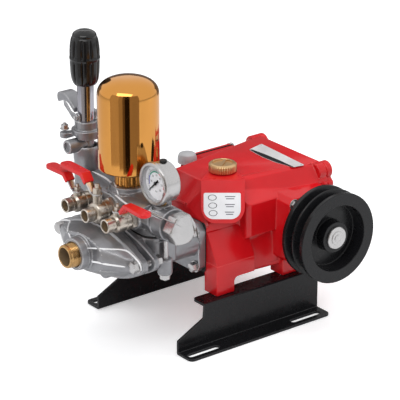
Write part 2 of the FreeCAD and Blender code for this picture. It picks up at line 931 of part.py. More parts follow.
def pulley():
    """A cast two-groove V-belt pulley: rim, deep dish, web and hub."""
    face = size.pulley_width
    outer = size.pulley_radius
    root = outer - size.pulley_groove_depth
    bore = size.shaft_radius
    hub = size.pulley_hub_radius
    rim = size.pulley_rim_inner
    rim_foot = rim - size.pulley_rim_draft
    hub_face = face - size.pulley_hub_drop
    web_face = face - size.pulley_recess
    web_back = web_face - size.pulley_web
    hub_back = size.pulley_hub_start
    points = [
        (bore, hub_back), (hub, hub_back), (hub, web_back), (rim_foot, web_back), (rim, 0), (outer, 0),
    ]
    for turn in (NEAR, FAR):
        middle = face / 2 + turn * size.pulley_groove_pitch / 2
        points += [
            (outer, middle - size.pulley_groove_mouth / 2), (root, middle - size.pulley_groove_root / 2),
            (root, middle + size.pulley_groove_root / 2), (outer, middle + size.pulley_groove_mouth / 2),
        ]
    points += [
        (outer, face), (rim, face), (rim_foot, web_face), (hub, web_face), (hub, hub_face),
        (bore, hub_face),
    ]
    return turned("pulley", points, (size.crank_x, face - size.pulley_face, crank_z), ALONG_MINUS_Y)


pulley()
washer_edge = size.washer_thick / 4
turned("pulley_washer", [
    (0, 0), (size.washer_radius, 0), (size.washer_radius, size.washer_thick - washer_edge),
    (size.washer_radius - washer_edge, size.washer_thick), (0, size.washer_thick),
], (size.crank_x, size.pulley_hub_drop - size.pulley_face, crank_z), ALONG_MINUS_Y)


# Oil cap, its hang tag and the breather
tag_room = size.tag_thick + 2 * size.tag_gap
cap_seat = boss_top + tag_room
cap_inner = size.cap_radius - size.cap_rim
turned("oil_cap", [
    (0, -tag_room), (size.cap_neck_radius, -tag_room), (size.cap_neck_radius, 0),
    (size.cap_radius - size.cap_edge, 0), (size.cap_radius, size.cap_edge),
    (size.cap_radius, size.cap_height - size.cap_edge), (size.cap_radius - size.cap_edge, size.cap_height),
    (cap_inner, size.cap_height), (cap_inner - size.cap_edge, size.cap_height - size.cap_dish),
    (0, size.cap_height - size.cap_dish),
], (size.cap_boss_x, size.cap_boss_y, cap_seat))


def hang_tag():
    """A tag under the oil cap, bent over the crankcase's front edge."""
    body = new_body("hang_tag", (size.cap_boss_x, size.cap_boss_y, boss_top + size.tag_gap), TO_VIEWER)
    thick = size.tag_thick
    half = size.tag_width / 2
    bend = -size.tag_reach
    tip = bend - size.tag_lean
    side = polygon(new_sketch(body, "YZ_Plane"), [
        (size.tag_back, 0), (size.tag_back, thick), (bend, thick), (tip - thick, -size.tag_drop),
        (tip, -size.tag_drop), (bend + thick, 0),
    ])
    pad(body, side, size.tag_width, both=True)
    r = size.tag_corner
    corners = new_sketch(body, "XZ_Plane")
    for way in (NEAR, FAR):
        steps = []
        for step in range(TAG_FACETS + 1):
            turn = math.pi / 2 * step / TAG_FACETS
            steps.append((way * (half - r + r * math.cos(turn)), r - r * math.sin(turn) - size.tag_drop))
        polygon(corners, steps + [
            (way * (half - r), -size.tag_drop - thick), (way * (half + thick), -size.tag_drop - thick),
            (way * (half + thick), r - size.tag_drop),
        ])
    through(body, corners)
    cut = new_sketch(body, "XY_Plane")
    circle(cut, (0, 0), size.cap_neck_radius + size.tag_gap)
    for way in (NEAR, FAR):
        polygon(cut, [
            (way * half, bend), (way * (half + thick), bend), (way * (half + thick), size.tag_back + thick),
            (way * half / 2, size.tag_back + thick), (way * half / 2, size.tag_back),
        ])
    through(body, cut)
    return body


hang_tag()
breather_low = size.breather_height / 5
breather_slope = size.breather_height - 2 * breather_low
breather_neck = size.breather_seat_radius - size.seal_edge
breather_shoulder = size.breather_height - size.seal_edge
turned("breather_cap", [
    (0, 0), (breather_neck, 0), (breather_neck, breather_low), (size.breather_radius, breather_low),
    (size.breather_radius, breather_slope), (size.breather_radius - size.seal_edge, breather_shoulder),
    (size.breather_radius / 2, size.breather_height), (0, size.breather_height),
], (size.breather_x, size.breather_y, gallery_top + size.breather_seat))


# Cylinder block with its three barrels
def head_outline(sketch, inset):
    """The outline that the block's top, the head gasket and the manifold share, round at the front."""
    half = size.head_half - inset
    front = inset - size.head_front
    rear = size.head_rear - inset
    r = size.head_round
    mid = r * (1 - math.sqrt(0.5))
    return outline(sketch, [
        (rear, size.head_bevel - half), (rear, half - size.head_bevel), (rear - size.head_bevel, half),
        (front + r, half), ((front + mid, half - mid), (front, half - r), "DistanceX", front + r),
        (front, r - half), ((front + mid, mid - half), (front + r, -half), "DistanceX", front + r),
        (rear - size.head_bevel, -half),
    ])


joint_x = size.head_x - size.joint_front
ear_top = plunger_z + size.ear_top_rise


def cylinder_block():
    """The cast block: rear flange, three plunger barrels, valve chamber, joint flange and side ears."""
    body = new_body("cylinder_block")
    rear = size.case_front - size.block_flange
    half = size.case_front_half
    cut = size.block_flange_corner
    low = plunger_z - size.block_flange_below
    high = plunger_z + size.block_flange_above
    flange = polygon(new_sketch(body, "YZ_Plane", rear), mirrored([
        (half - cut, low), (half, low + cut), (half, high - cut), (half - cut, high),
    ]))
    pad(body, flange, size.block_flange)
    head_back = size.head_x + size.head_rear - size.cast_lap
    reach = rear - head_back + size.cast_lap
    for place in (-size.cylinder_spacing, 0, size.cylinder_spacing):
        barrel = new_sketch(body, "YZ_Plane", head_back)
        circle(barrel, (place, plunger_z), size.barrel_radius)
        pad(body, barrel, reach)
    web_low = plunger_z - size.block_web_drop - size.block_web / 2
    web = polygon(new_sketch(body, "YZ_Plane", head_back), mirrored([
        (size.block_web_half, web_low), (size.block_web_half, web_low + size.block_web),
    ]))
    pad(body, web, reach)
    chamber_low = plunger_z - size.head_below
    w = size.chamber_half
    bevel = size.chamber_bevel
    chamber = polygon(new_sketch(body, "YZ_Plane", joint_x), mirrored([
        (w - 2 * bevel, chamber_low), (w, chamber_low + bevel), (w, head_top - size.head_bevel),
        (w - size.head_bevel, head_top - size.cast_lap),
    ]))
    pad(body, chamber, size.joint_front + size.head_rear)
    tower = sketch_over_head(body, ear_top - size.ear_height / 2)
    pad(body, head_outline(tower, 0), size.head_above - size.ear_top_rise + size.ear_height / 2)
    joint = lens(new_sketch(body, "YZ_Plane", joint_x), suction_z, size.suction_bolt_half,
                 size.suction_high, size.suction_low, size.suction_ear_radius)
    pad(body, joint, size.joint_flange)
    for side in (NEAR, FAR):
        ear = new_sketch(body, "XY_Plane", ear_top - size.ear_height)
        circle(ear, (size.head_x, side * size.ear_half), size.ear_radius)
        pad(body, ear, size.ear_height)
    return body


def sketch_over_head(body, z):
    """A level sketch whose middle is on the manifold's axis."""
    sketch = new_sketch(body, "XY_Plane", z)
    sketch.AttachmentOffset = Placement(Vector(number(size.head_x), 0, number(z)), Rotation())
    bind(sketch, "AttachmentOffset.Base.x", size.head_x)
    return sketch


cylinder_block()


def suction_cover():
    """The lens-shaped suction chamber in front of the block, with an ear at each end."""
    body = new_body("suction_cover", (joint_x, 0, suction_z))
    half = size.suction_bolt_half
    high = size.suction_high
    low = size.suction_low
    ear = size.suction_ear_radius
    flange_end = size.suction_relief + size.suction_flange
    shoulder_end = flange_end + size.suction_shoulder
    crown_end = shoulder_end + size.suction_crown
    trim = size.suction_inner_trim
    inner = lens(new_sketch(body, "YZ_Plane"), 0, size.suction_inner_half, high - trim, low - trim,
                 size.suction_inner_ear)
    pad(body, inner, size.suction_relief, back=True)
    flange = lens(new_sketch(body, "YZ_Plane", -size.suction_relief), 0, half, high, low, ear)
    pad(body, flange, size.suction_flange, back=True)
    trim = size.suction_root_trim
    loft(body, [
        lens(new_sketch(body, "YZ_Plane", size.cast_lap - flange_end), 0, size.suction_root_half,
             high - trim, low - trim, ear),
        lens(new_sketch(body, "YZ_Plane", -shoulder_end), 0, size.suction_slope_half,
             size.suction_slope_high, size.suction_slope_low, size.suction_slope_ear),
        lens(new_sketch(body, "YZ_Plane", -crown_end), 0, size.suction_crown_half,
             size.suction_crown_high, size.suction_crown_low, size.suction_crown_ear),
    ])
    boss = new_sketch(body, "YZ_Plane", -shoulder_end)
    circle(boss, (0, 0), size.inlet_boss_radius)
    pad(body, boss, size.suction_crown + size.inlet_boss_length, back=True)
    drain = new_sketch(body, "YZ_Plane")
    circle(drain, (-size.drain_boss_offset, -size.drain_boss_drop), size.drain_boss_radius)
    pad(body, drain, size.drain_boss_length, back=True)
    bore = new_sketch(body, "YZ_Plane", -crown_end - size.inlet_boss_length)
    circle(bore, (0, 0), size.inlet_bore)
    pocket(body, bore, size.inlet_boss_length + size.suction_crown + size.suction_shoulder, back=True)
    return body


suction_cover()
inlet_face = (joint_x - size.suction_relief - size.suction_flange - size.suction_shoulder
              - size.suction_crown - size.inlet_boss_length)
thread_end = size.inlet_length - size.inlet_edge
turned("inlet_nipple", [
    (size.inlet_bore, 0), (size.inlet_collar_radius, 0),
    (size.inlet_collar_radius, size.inlet_collar_length),
    (size.inlet_radius, size.inlet_collar_length + size.inlet_edge), (size.inlet_radius, thread_end),
    (size.inlet_radius - size.inlet_edge, size.inlet_length), (size.inlet_bore, size.inlet_length),
], (inlet_face, 0, suction_z), ALONG_MINUS_X)


# Discharge manifold on top of the block
def manifold():
    """The cast discharge manifold: cross tube, ridged deck, valve bosses, dome seat and stud ears."""
    body = new_body("discharge_manifold", (size.head_x, 0, manifold_low))
    axis = size.manifold_radius
    tube = new_sketch(body, "XZ_Plane", size.manifold_near)
    circle(tube, (0, axis), size.manifold_radius)
    pad(body, tube, size.manifold_near + size.manifold_far, back=True)
    pad(body, head_outline(new_sketch(body, "XY_Plane"), 0), axis)
    ridge = axis + size.ridge_rise
    spans = (
        (size.deck_near, size.manifold_far, 0), (size.manifold_far, -size.deck_near, size.deck_step),
    )
    for start, finish, drop in spans:
        level = ridge - drop
        deck = polygon(new_sketch(body, "XZ_Plane", start), [
            (-size.head_front, axis / 2), (-size.deck_front, axis),
            (-size.deck_front, level - size.deck_fall),
            (size.deck_edge - size.deck_front, level - size.deck_fall / 2), (-size.ridge_offset, level),
            (size.ridge_offset, level), (size.head_rear - size.head_bevel, level - size.deck_edge),
            (size.head_rear - size.head_bevel, axis / 2),
        ])
        pad(body, deck, start + finish, back=True)
    for place in (-size.valve_spacing, 0, size.valve_spacing):
        boss = new_sketch(body, "YZ_Plane", -size.head_front / 2)
        circle(boss, (place, axis), size.valve_body_radius + size.valve_boss_margin)
        pad(body, boss, size.valve_base - size.head_front / 2, back=True)
    seats = (
        (size.dome_ring_radius, size.dome_ring_rise), (size.dome_seat_radius, size.dome_seat_rise),
    )
    for radius, rise in seats:
        seat = circle(new_sketch(body, "XY_Plane", axis), (0, 0), radius)
        pad(body, seat, rise)
    boss_x = size.gauge_stem_x - size.head_x
    steps = (
        (size.gauge_pad_radius, size.gauge_pad_rise), (size.gauge_boss_radius, size.gauge_boss_rise),
    )
    for radius, rise in steps:
        gauge_boss = circle(new_sketch(body, "XY_Plane", axis), (boss_x, size.gauge_y), radius)
        pad(body, gauge_boss, rise)
    for side in (NEAR, FAR):
        ear = circle(new_sketch(body, "XY_Plane"), (0, side * size.ear_half), size.manifold_ear_radius)
        pad(body, ear, size.manifold_ear_height)
    return body


manifold()
head_gasket = new_body("head_gasket", (size.head_x, 0, head_top))
pad(head_gasket, head_outline(new_sketch(head_gasket, "XY_Plane"), 0), size.gasket_height)


def manifold_plug():
    """The big hexagon plug that closes the manifold's near end."""
    body = new_body("manifold_plug", (size.head_x, -size.manifold_near, manifold_z), ALONG_MINUS_Y)
    stem = circle(new_sketch(body, "XY_Plane"), (0, 0), size.plug_stem_radius)
    pad(body, stem, size.plug_stem_length)
    head = polygon(new_sketch(body, "XY_Plane", size.plug_stem_length), hex_points(size.plug_width))
    pad(body, head, size.plug_length)
    face = size.plug_stem_length + size.plug_length
    flat_half = size.plug_width / 2
    beyond = flat_half + 3 * size.plug_bevel
    corner = polygon(new_sketch(body, "XZ_Plane"), [
        (flat_half, face), (beyond, face), (beyond, face - size.plug_bevel_depth),
    ])
    spin_cut(body, corner)
    return body


manifold_plug()
for name, side in (("head_stud_near", NEAR), ("head_stud_far", FAR)):
    stud = new_body(name, (size.head_x, side * size.ear_half, ear_top))
    rod = circle(new_sketch(stud, "XY_Plane"), (0, 0), size.stud_radius)
    pad(stud, rod, manifold_low - ear_top)


# Air chamber
dome_low = manifold_z + size.dome_seat_rise + size.collar_height
dome = new_body("air_chamber", (size.head_x, 0, dome_low))
cheek = (size.dome_cheek_radius, size.dome_straight + size.dome_cheek_rise)
shoulder = (size.dome_shoulder_radius, size.dome_height - size.dome_shoulder_fall)
brim = (size.dome_shoulder_radius / 2, size.dome_height - size.dome_top_fall)
spin(dome, outline(new_sketch(dome, "XZ_Plane"), [
    (0, 0), (size.dome_radius - size.dome_chamfer, 0), (size.dome_radius, size.dome_chamfer),
    (size.dome_radius, size.dome_straight),
    (cheek, shoulder, "DistanceY", size.dome_straight),
    (brim, (0, size.dome_height), "DistanceX", 0),
]))
collar = turned("air_chamber_collar", [
    (0, 0), (size.collar_radius, 0), (size.collar_radius, size.collar_height - size.collar_lip / 2),
    (size.collar_radius + size.collar_lip, size.collar_height), (0, size.collar_height),
], (size.head_x, 0, dome_low - size.collar_height))
flute_centre = size.collar_radius + size.collar_flute / 2
collar_flute = circle(new_sketch(collar, "XY_Plane"), (flute_centre, 0), size.collar_flute)
around(collar, pocket(collar, collar_flute, size.collar_height - size.collar_lip, back=True), COLLAR_FLUTES)


# Pressure gauge
gauge_at = (size.gauge_face, size.gauge_y, manifold_z + size.gauge_rise)
gauge_wall_radius = size.gauge_radius - size.gauge_wall
gauge_mouth = gauge_wall_radius - size.gauge_wall
dial_seat = -size.gauge_dial_depth
turned("gauge_case", [
    (0, -size.gauge_depth), (gauge_mouth, -size.gauge_depth),
    (gauge_wall_radius, size.gauge_wall - size.gauge_depth), (gauge_wall_radius, -size.gauge_bezel),
    (gauge_mouth, -size.gauge_seat), (gauge_mouth - size.gauge_fit, -size.gauge_seat),
    (gauge_mouth - size.gauge_fit, dial_seat),
    (size.spindle_radius, dial_seat), (size.spindle_radius, dial_seat + size.spindle_length),
    (0, dial_seat + size.spindle_length),
], gauge_at, ALONG_MINUS_X)
bezel_edge = size.gauge_wall - size.gauge_fit
turned("gauge_bezel", [
    (gauge_wall_radius + size.gauge_air, -size.gauge_bezel), (size.gauge_radius, -size.gauge_bezel),
    (size.gauge_radius, -bezel_edge), (size.gauge_radius - bezel_edge, 0),
    (size.gauge_radius - size.gauge_lip, 0),
    (size.gauge_radius - size.gauge_lip, size.gauge_air - size.gauge_seat),
    (gauge_mouth + size.gauge_air, size.gauge_air - size.gauge_seat),
], gauge_at, ALONG_MINUS_X)


def gauge_needle():
    """The needle on its hub, pointing to the dial's lower left at rest."""
    place = (size.gauge_face + size.needle_depth, size.gauge_y, gauge_at[2])
    body = new_body("gauge_needle", place, ALONG_MINUS_X)
    hub = circle(new_sketch(body, "XY_Plane"), (0, 0), size.needle_hub)
    pad(body, hub, size.needle_thick)
    lean = math.radians(NEEDLE_REST)
    up = math.sin(lean)
    across = math.cos(lean)
    half = size.needle_width / 2
    tip = size.needle_length
    tail = size.needle_tail
    blade = polygon(new_sketch(body, "XY_Plane"), [
        (tip * up, tip * across), (half * across, -half * up),
        (-tail * up + half * across, -tail * across - half * up),
        (-tail * up - half * across, -tail * across + half * up),
        (-half * across, half * up),
    ])
    pad(body, blade, size.needle_thick)
    through(body, circle(new_sketch(body, "XY_Plane"), (0, 0), size.spindle_radius + size.shaft_fit))
    return body


gauge_needle()
gauge_foot = manifold_z + size.gauge_boss_rise
stem_height = gauge_at[2] - gauge_wall_radius - 2 * size.gauge_air - gauge_foot
turned("gauge_stem", [
    (0, 0), (size.gauge_stem_radius, 0), (size.gauge_stem_radius, stem_height), (0, stem_height),
], (size.gauge_stem_x, size.gauge_y, gauge_foot))
plug_foot = gauge_at[2] + gauge_wall_radius + 2 * size.gauge_air
turned("gauge_plug", [
    (0, 0), (size.gauge_plug_radius, 0), (size.gauge_plug_radius - size.gauge_fit, size.gauge_plug_height),
    (0, size.gauge_plug_height),
], (size.gauge_face + 2 * size.gauge_depth / 3, size.gauge_y, plug_foot))


# Discharge ball valves
stem_x = size.head_x - size.valve_stem_reach


def valve(name, order, side, r, neck_radius, rise, step, length, width, nut_radius, nut_height, lap):
    """A ball valve with a male hose end, its cranked lever in a dipped grip, and its nut."""
    y = order * size.valve_spacing
    base = size.head_x - size.valve_base
    end = size.valve_reach - size.valve_base
    edge = size.valve_edge
    body = turned(f"valve_{name}_body", [
        (size.valve_bore, 0), (r - edge, 0), (r, edge), (r, size.valve_body_length - edge),
        (r - edge, size.valve_body_length), (size.valve_end_radius, size.valve_body_length + edge),
        (size.valve_end_radius, end), (size.valve_bore, end),
    ], (base, y, manifold_z), ALONG_MINUS_X)
    neck_top = size.valve_stem_rise + rise
    collar_sketch = new_sketch(body, "XY_Plane")
    polygon(collar_sketch, hex_points(2 * r - edge / 2))
    circle(collar_sketch, (0, 0), size.valve_bore)
    pad(body, collar_sketch, size.valve_hex_length)
    neck = new_sketch(body, "YZ_Plane", r - edge)
    circle(neck, (0, size.valve_stem_reach - size.valve_base), neck_radius)
    pad(body, neck, neck_top - r + edge)
    lever_at = (stem_x, y, manifold_z + neck_top + size.lever_gap)
    lever = new_body(f"valve_{name}_lever", lever_at)
    t = size.lever_thick
    eye = circle(new_sketch(lever, "XY_Plane"), (0, 0), size.lever_eye)
    pad(lever, eye, t)
    bend = size.lever_bend_start
    top = bend + step * INCLINE
    strap = [
        (0, 0), (side * bend, 0), (side * top, step), (side * length, step), (side * length, step + t),
        (side * (top - t / 2), step + t), (side * (bend - t / 2), t), (0, t),
    ]
    pad(lever, polygon(new_sketch(lever, "YZ_Plane"), strap), width, both=True)
    grip = new_body(f"valve_{name}_grip", lever_at)
    wall = size.grip_wall
    out = wall * GRIP_ASIDE
    down = wall * GRIP_DOWN
    start = bend + lap * (top - bend)
    low = lap * step
    sleeve = polygon(new_sketch(grip, "YZ_Plane"), [
        (side * (start + out), low - down), (side * (top + wall / 2), step - wall),
        (side * (length + wall), step - wall), (side * (length + wall), step + t + wall),
        (side * (top - t / 2 - wall / 2), step + t + wall), (side * (start - t / 2 - out), low + t + down),
    ])
    pad(grip, sleeve, size.grip_tip_width, both=True)
    taper = new_sketch(grip, "XY_Plane")
    root = width / 2 + wall
    widest = size.grip_tip_width / 2
    for way in (NEAR, FAR):
        polygon(taper, [
            (way * root, side * bend / 2), (way * widest, side * (length + 2 * wall)),
            (way * (widest + wall), side * (length + 2 * wall)), (way * (widest + wall), side * bend / 2),
        ])
    through(grip, taper)

    def tip_corner(e):
        return along(e, (0, 0, 1)) and abs(abs(e.CenterOfMass.y) - number(length + wall)) < NEARLY

    fillet(grip, tip_corner, size.grip_tip_round)
    hollow = polygon(new_sketch(grip, "YZ_Plane"), strap)
    pocket(grip, hollow, width, both=True)
    turned(f"valve_{name}_nut", [
        (0, 0), (nut_radius, 0), (nut_radius, nut_height * NUT_SHOULDER),
        (nut_radius * NUT_CROWN_WIDTH, nut_height * NUT_CROWN), (nut_radius * NUT_TOP_WIDTH, nut_height),
        (0, nut_height),
    ], (stem_x, y, manifold_z + neck_top + size.lever_gap + t))


valve("near", -1, NEAR, size.valve_body_radius, size.valve_neck_radius, 0, size.lever_step_near,
      size.lever_length, size.lever_width, size.nut_radius, size.nut_height, size.grip_lap_near)
valve("middle", 0, FAR, size.middle_body_radius, size.middle_neck_radius, size.middle_valve_rise,
      size.middle_lever_step, size.middle_lever_length, size.middle_lever_width, size.middle_nut_radius,
      size.middle_nut_height, size.grip_lap)
valve("far", 1, FAR, size.valve_body_radius, size.valve_neck_radius, 0, size.lever_step_far,
      size.lever_length, size.lever_width, size.nut_radius, size.nut_height, size.grip_lap)


# Pressure regulator
regulator_low = manifold_z + size.regulator_neck_rise - size.regulator_below
bonnet_low = regulator_low + size.regulator_height
bonnet_top = bonnet_low + size.bonnet_height
collar_top = bonnet_top + size.yoke_collar_height
pin_z = bonnet_top + size.relief_pin_rise
knob_split = collar_top + size.tube_length
stub_z = -size.regulator_stub_drop


def regulator_body():
    """The regulator's barrel on its neck from the manifold, with a side stub and an arched window."""
    body = turned("regulator_body", [
        (0, -size.regulator_height), (size.regulator_radius, -size.regulator_height),
        (size.regulator_radius, -size.regulator_insert), (size.insert_radius, -size.regulator_insert),
        (size.insert_radius, 0), (0, 0),
    ], (size.head_x, size.regulator_y, bonnet_low))
    neck = new_sketch(body, "XZ_Plane")
    circle(neck, (0, size.regulator_below - size.regulator_height), size.regulator_neck_radius)
    pad(body, neck, size.regulator_y - size.manifold_far)
    stub = circle(new_sketch(body, "YZ_Plane", -size.stub_root), (0, stub_z), size.regulator_stub_radius)
    pad(body, stub, size.regulator_stub_reach - size.stub_root, back=True)
    face = size.insert_radius - size.window_depth
    window = new_sketch(body, "XZ_Plane", face, Rotation(Vector(0, 1, 0), -VIEWER_TURN))
    half = size.window_width / 2
    sill = -size.regulator_insert - size.window_length
    arch = -size.regulator_insert / 2
    spring = arch - half * ARCH_RISE
    bow = half * (1 + ARCH_RISE * ARCH_RISE) / (2 * ARCH_RISE)
    outline(window, [
        (-half, sill), (half, sill), (half, spring), ((0, arch), (-half, spring), "DistanceY", arch - bow),
    ])
    pocket(body, window, size.regulator_radius, back=True)
    return body


def bonnet():
    """The bolted bonnet with its two ears, the yoke collar round the tube and the lugs of the lever."""
    body = turned("regulator_bonnet", [
        (0, 0), (size.bonnet_radius, 0), (size.bonnet_radius, size.bonnet_height),
        (size.yoke_collar_radius, size.bonnet_height),
        (size.yoke_collar_radius, size.bonnet_height + size.yoke_collar_height),
        (0, size.bonnet_height + size.yoke_collar_height),
    ], (size.head_x, size.regulator_y, bonnet_low))
    lean = math.radians(BONNET_TURN)
    away = size.bonnet_ear_half
    for side in (NEAR, FAR):
        place = (side * away * math.cos(lean), side * away * math.sin(lean))
        ear = circle(new_sketch(body, "XY_Plane"), place, size.bonnet_ear_radius)
        pad(body, ear, size.bonnet_flange)
    wide = size.bonnet_arm_half
    arm = polygon(new_sketch(body, "XY_Plane", 0, Rotation(Vector(0, 0, 1), BONNET_TURN)), [
        (-away, -wide), (away, -wide), (away, wide), (-away, wide),
    ])
    pad(body, arm, size.bonnet_flange)
    notch_radius = size.regulator_stub_radius + size.lever_gap
    notch = circle(new_sketch(body, "YZ_Plane", -size.stub_root), (0, stub_z), notch_radius)
    pocket(body, notch, size.regulator_stub_reach)
    low = size.bonnet_height + size.yoke_collar_height - size.cast_lap
    pin_rise = size.bonnet_height + size.relief_pin_rise
    half = size.yoke_ear_half
    for start, back in ((size.yoke_ear_start, False), (-size.yoke_ear_start, True)):
        lug = polygon(new_sketch(body, "YZ_Plane", start), [
            (-half, low), (half, low), (half, pin_rise + half / 2), (half / 2, pin_rise + half),
            (-half / 2, pin_rise + half), (-half, pin_rise + half / 2),
        ])
        pad(body, lug, size.yoke_ear_thick, back=back)
    through(body, circle(new_sketch(body, "YZ_Plane"), (0, pin_rise), size.relief_pin_radius))
    return body


regulator_body()
bonnet()
turned("regulator_tube", [
    (0, 0), (size.tube_radius, 0), (size.tube_radius, size.tube_length), (0, size.tube_length),
], (size.head_x, size.regulator_y, collar_top))

knob_bore = size.tube_radius + size.knob_clear
knob_low = -size.knob_overlap
knob_wide = size.knob_radius
knob = turned("regulator_knob", [
    (knob_bore, knob_low), (knob_wide - size.knob_foot_draw, knob_low),
    (knob_wide - size.knob_step, knob_low + size.knob_foot),
    (knob_wide - size.knob_step / 2, -2 * size.knob_ring), (knob_wide, -size.knob_ring),
    (knob_wide, size.knob_ring), (knob_wide - size.knob_step, size.knob_foot_draw),
    (knob_wide - 2 * size.knob_step, size.knob_upper - 2 * size.knob_ring),
    (knob_wide - size.knob_top_draw, size.knob_upper), (0, size.knob_upper),
    (0, size.knob_roof), (knob_bore, size.knob_roof),
], (size.head_x, size.regulator_y, knob_split))
flute = new_sketch(knob, "XY_Plane", size.knob_upper - size.knob_foot)
circle(flute, (knob_wide - size.knob_flute / 3, 0), size.knob_flute)
around(knob, pocket(knob, flute, size.knob_upper - size.knob_flute_margin), KNOB_FLUTES)


def relief_lever():
    """The forked relief lever round the tube, joined to a plate behind it."""
    body = new_body("relief_lever", (size.head_x, size.regulator_y, pin_z))
    inner = size.yoke_ear_start + size.yoke_ear_thick + size.lever_gap
    outer = inner + size.relief_arm
    eye = size.relief_eye
    side = polygon(new_sketch(body, "YZ_Plane"), [
        (-eye, -eye), (eye, -eye), (size.relief_reach, size.relief_reach / 3),
        (size.relief_length, size.relief_tip_low), (size.relief_length, size.relief_tip_high),
        (size.relief_bend, size.relief_bend_high), (0, size.relief_crown), (-eye, eye),
    ])
    pad(body, side, 2 * outer, both=True)
    slots = new_sketch(body, "XY_Plane")
    polygon(slots, [
        (-inner, -2 * eye), (inner, -2 * eye), (inner, size.relief_reach), (-inner, size.relief_reach),
    ])
    narrow = size.relief_plate_half
    for way in (NEAR, FAR):
        polygon(slots, [
            (way * outer, size.relief_reach), (way * narrow, size.relief_taper_end),
            (way * narrow, size.relief_length + eye), (way * (outer + eye), size.relief_length + eye),
            (way * (outer + eye), size.relief_reach),
        ])
    through(body, slots)
    through(body, circle(new_sketch(body, "YZ_Plane"), (0, 0), size.relief_pin_radius + size.shaft_fit))
    return body


relief_lever()
pins = new_body("relief_pin", (size.head_x, size.regulator_y, pin_z))
pins.AllowCompound = True
pin_length = size.yoke_ear_thick + size.lever_gap + size.relief_arm + size.relief_head
for start, back in ((size.yoke_ear_start, False), (-size.yoke_ear_start, True)):
    shank = circle(new_sketch(pins, "YZ_Plane", start), (0, 0), size.relief_pin_radius)
    pad(pins, shank, pin_length, back=back)


# Check every object, then write one file for each sub-part
doc.recompute()
for item in doc.Objects:
    faults = [state for state in item.State if state in ("Invalid", "Error")]
    if faults:
        raise RuntimeError(f"{item.Label} is {faults}")
os.makedirs("parts", exist_ok=True)
for body in pieces:
    if body.Shape.isNull() or not body.Shape.isValid() or not body.Shape.Solids:
        raise RuntimeError(f"{body.Label} has no valid solid")
    body.Shape.exportStep(f"parts/{body.Label}.step")
print(len(pieces), "sub-parts written")
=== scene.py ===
import json
import math

import bmesh
import bpy
from mathutils import Matrix, Vector
from mathutils.bvhtree import BVHTree


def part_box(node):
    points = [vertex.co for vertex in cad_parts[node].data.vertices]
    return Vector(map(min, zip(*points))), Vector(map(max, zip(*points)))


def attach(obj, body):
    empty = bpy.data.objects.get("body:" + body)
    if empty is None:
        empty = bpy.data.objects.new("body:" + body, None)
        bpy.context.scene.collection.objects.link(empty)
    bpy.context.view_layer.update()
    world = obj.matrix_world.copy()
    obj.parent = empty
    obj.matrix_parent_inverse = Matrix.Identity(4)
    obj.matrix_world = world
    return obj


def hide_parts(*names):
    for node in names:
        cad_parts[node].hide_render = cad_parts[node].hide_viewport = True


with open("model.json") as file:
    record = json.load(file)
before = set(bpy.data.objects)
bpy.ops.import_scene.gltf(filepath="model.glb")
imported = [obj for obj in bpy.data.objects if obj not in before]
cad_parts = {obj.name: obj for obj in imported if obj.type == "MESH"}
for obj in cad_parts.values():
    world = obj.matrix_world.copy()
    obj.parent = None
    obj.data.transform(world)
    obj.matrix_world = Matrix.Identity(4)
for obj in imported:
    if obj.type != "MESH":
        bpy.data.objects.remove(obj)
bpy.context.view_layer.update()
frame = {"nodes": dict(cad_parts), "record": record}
nodes = frame["nodes"]
record = frame["record"]
places = {row["name"]: row["pos_m"] for row in record["behaviour"]["joints"] + record["mounts"]}
MM = 0.001
FULL = math.tau
NEAR, FAR = -1, 1
AHEAD, BEHIND = (-1, 0, 0), (1, 0, 0)
UP, DOWN = (0, 0, 1), (0, 0, -1)


def place_of(name):
    """Where a joint or a mount of the frame sits, in millimetres."""
    return Vector([round(c / MM, 1) for c in places[name]])


def corners_of(node):
    """A node's lowest and highest corners in the frame, in millimetres."""
    return [Vector([round(c / MM, 1) for c in corner]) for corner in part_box(node)]


def foot_of(node):
    """The height at which a node begins."""
    return corners_of(node)[0].z


def middle_of(node):
    """The middle of a node's box."""
    low, high = corners_of(node)
    return (low + high) / 2


def raised(at, height):
    """A place straight above another."""
    return Vector(at) + Vector((0, 0, height))


# Places that several pieces share, in millimetres
HEAD_X, REGULATOR_Y = place_of("pressure_knob_turn").xy
CRANK_AT = place_of("crank_turn")
CASE_FRONT = corners_of("crankcase")[0].x
CAP_AT = Vector((*middle_of("oil_cap").xy, foot_of("oil_cap") + 0.3))


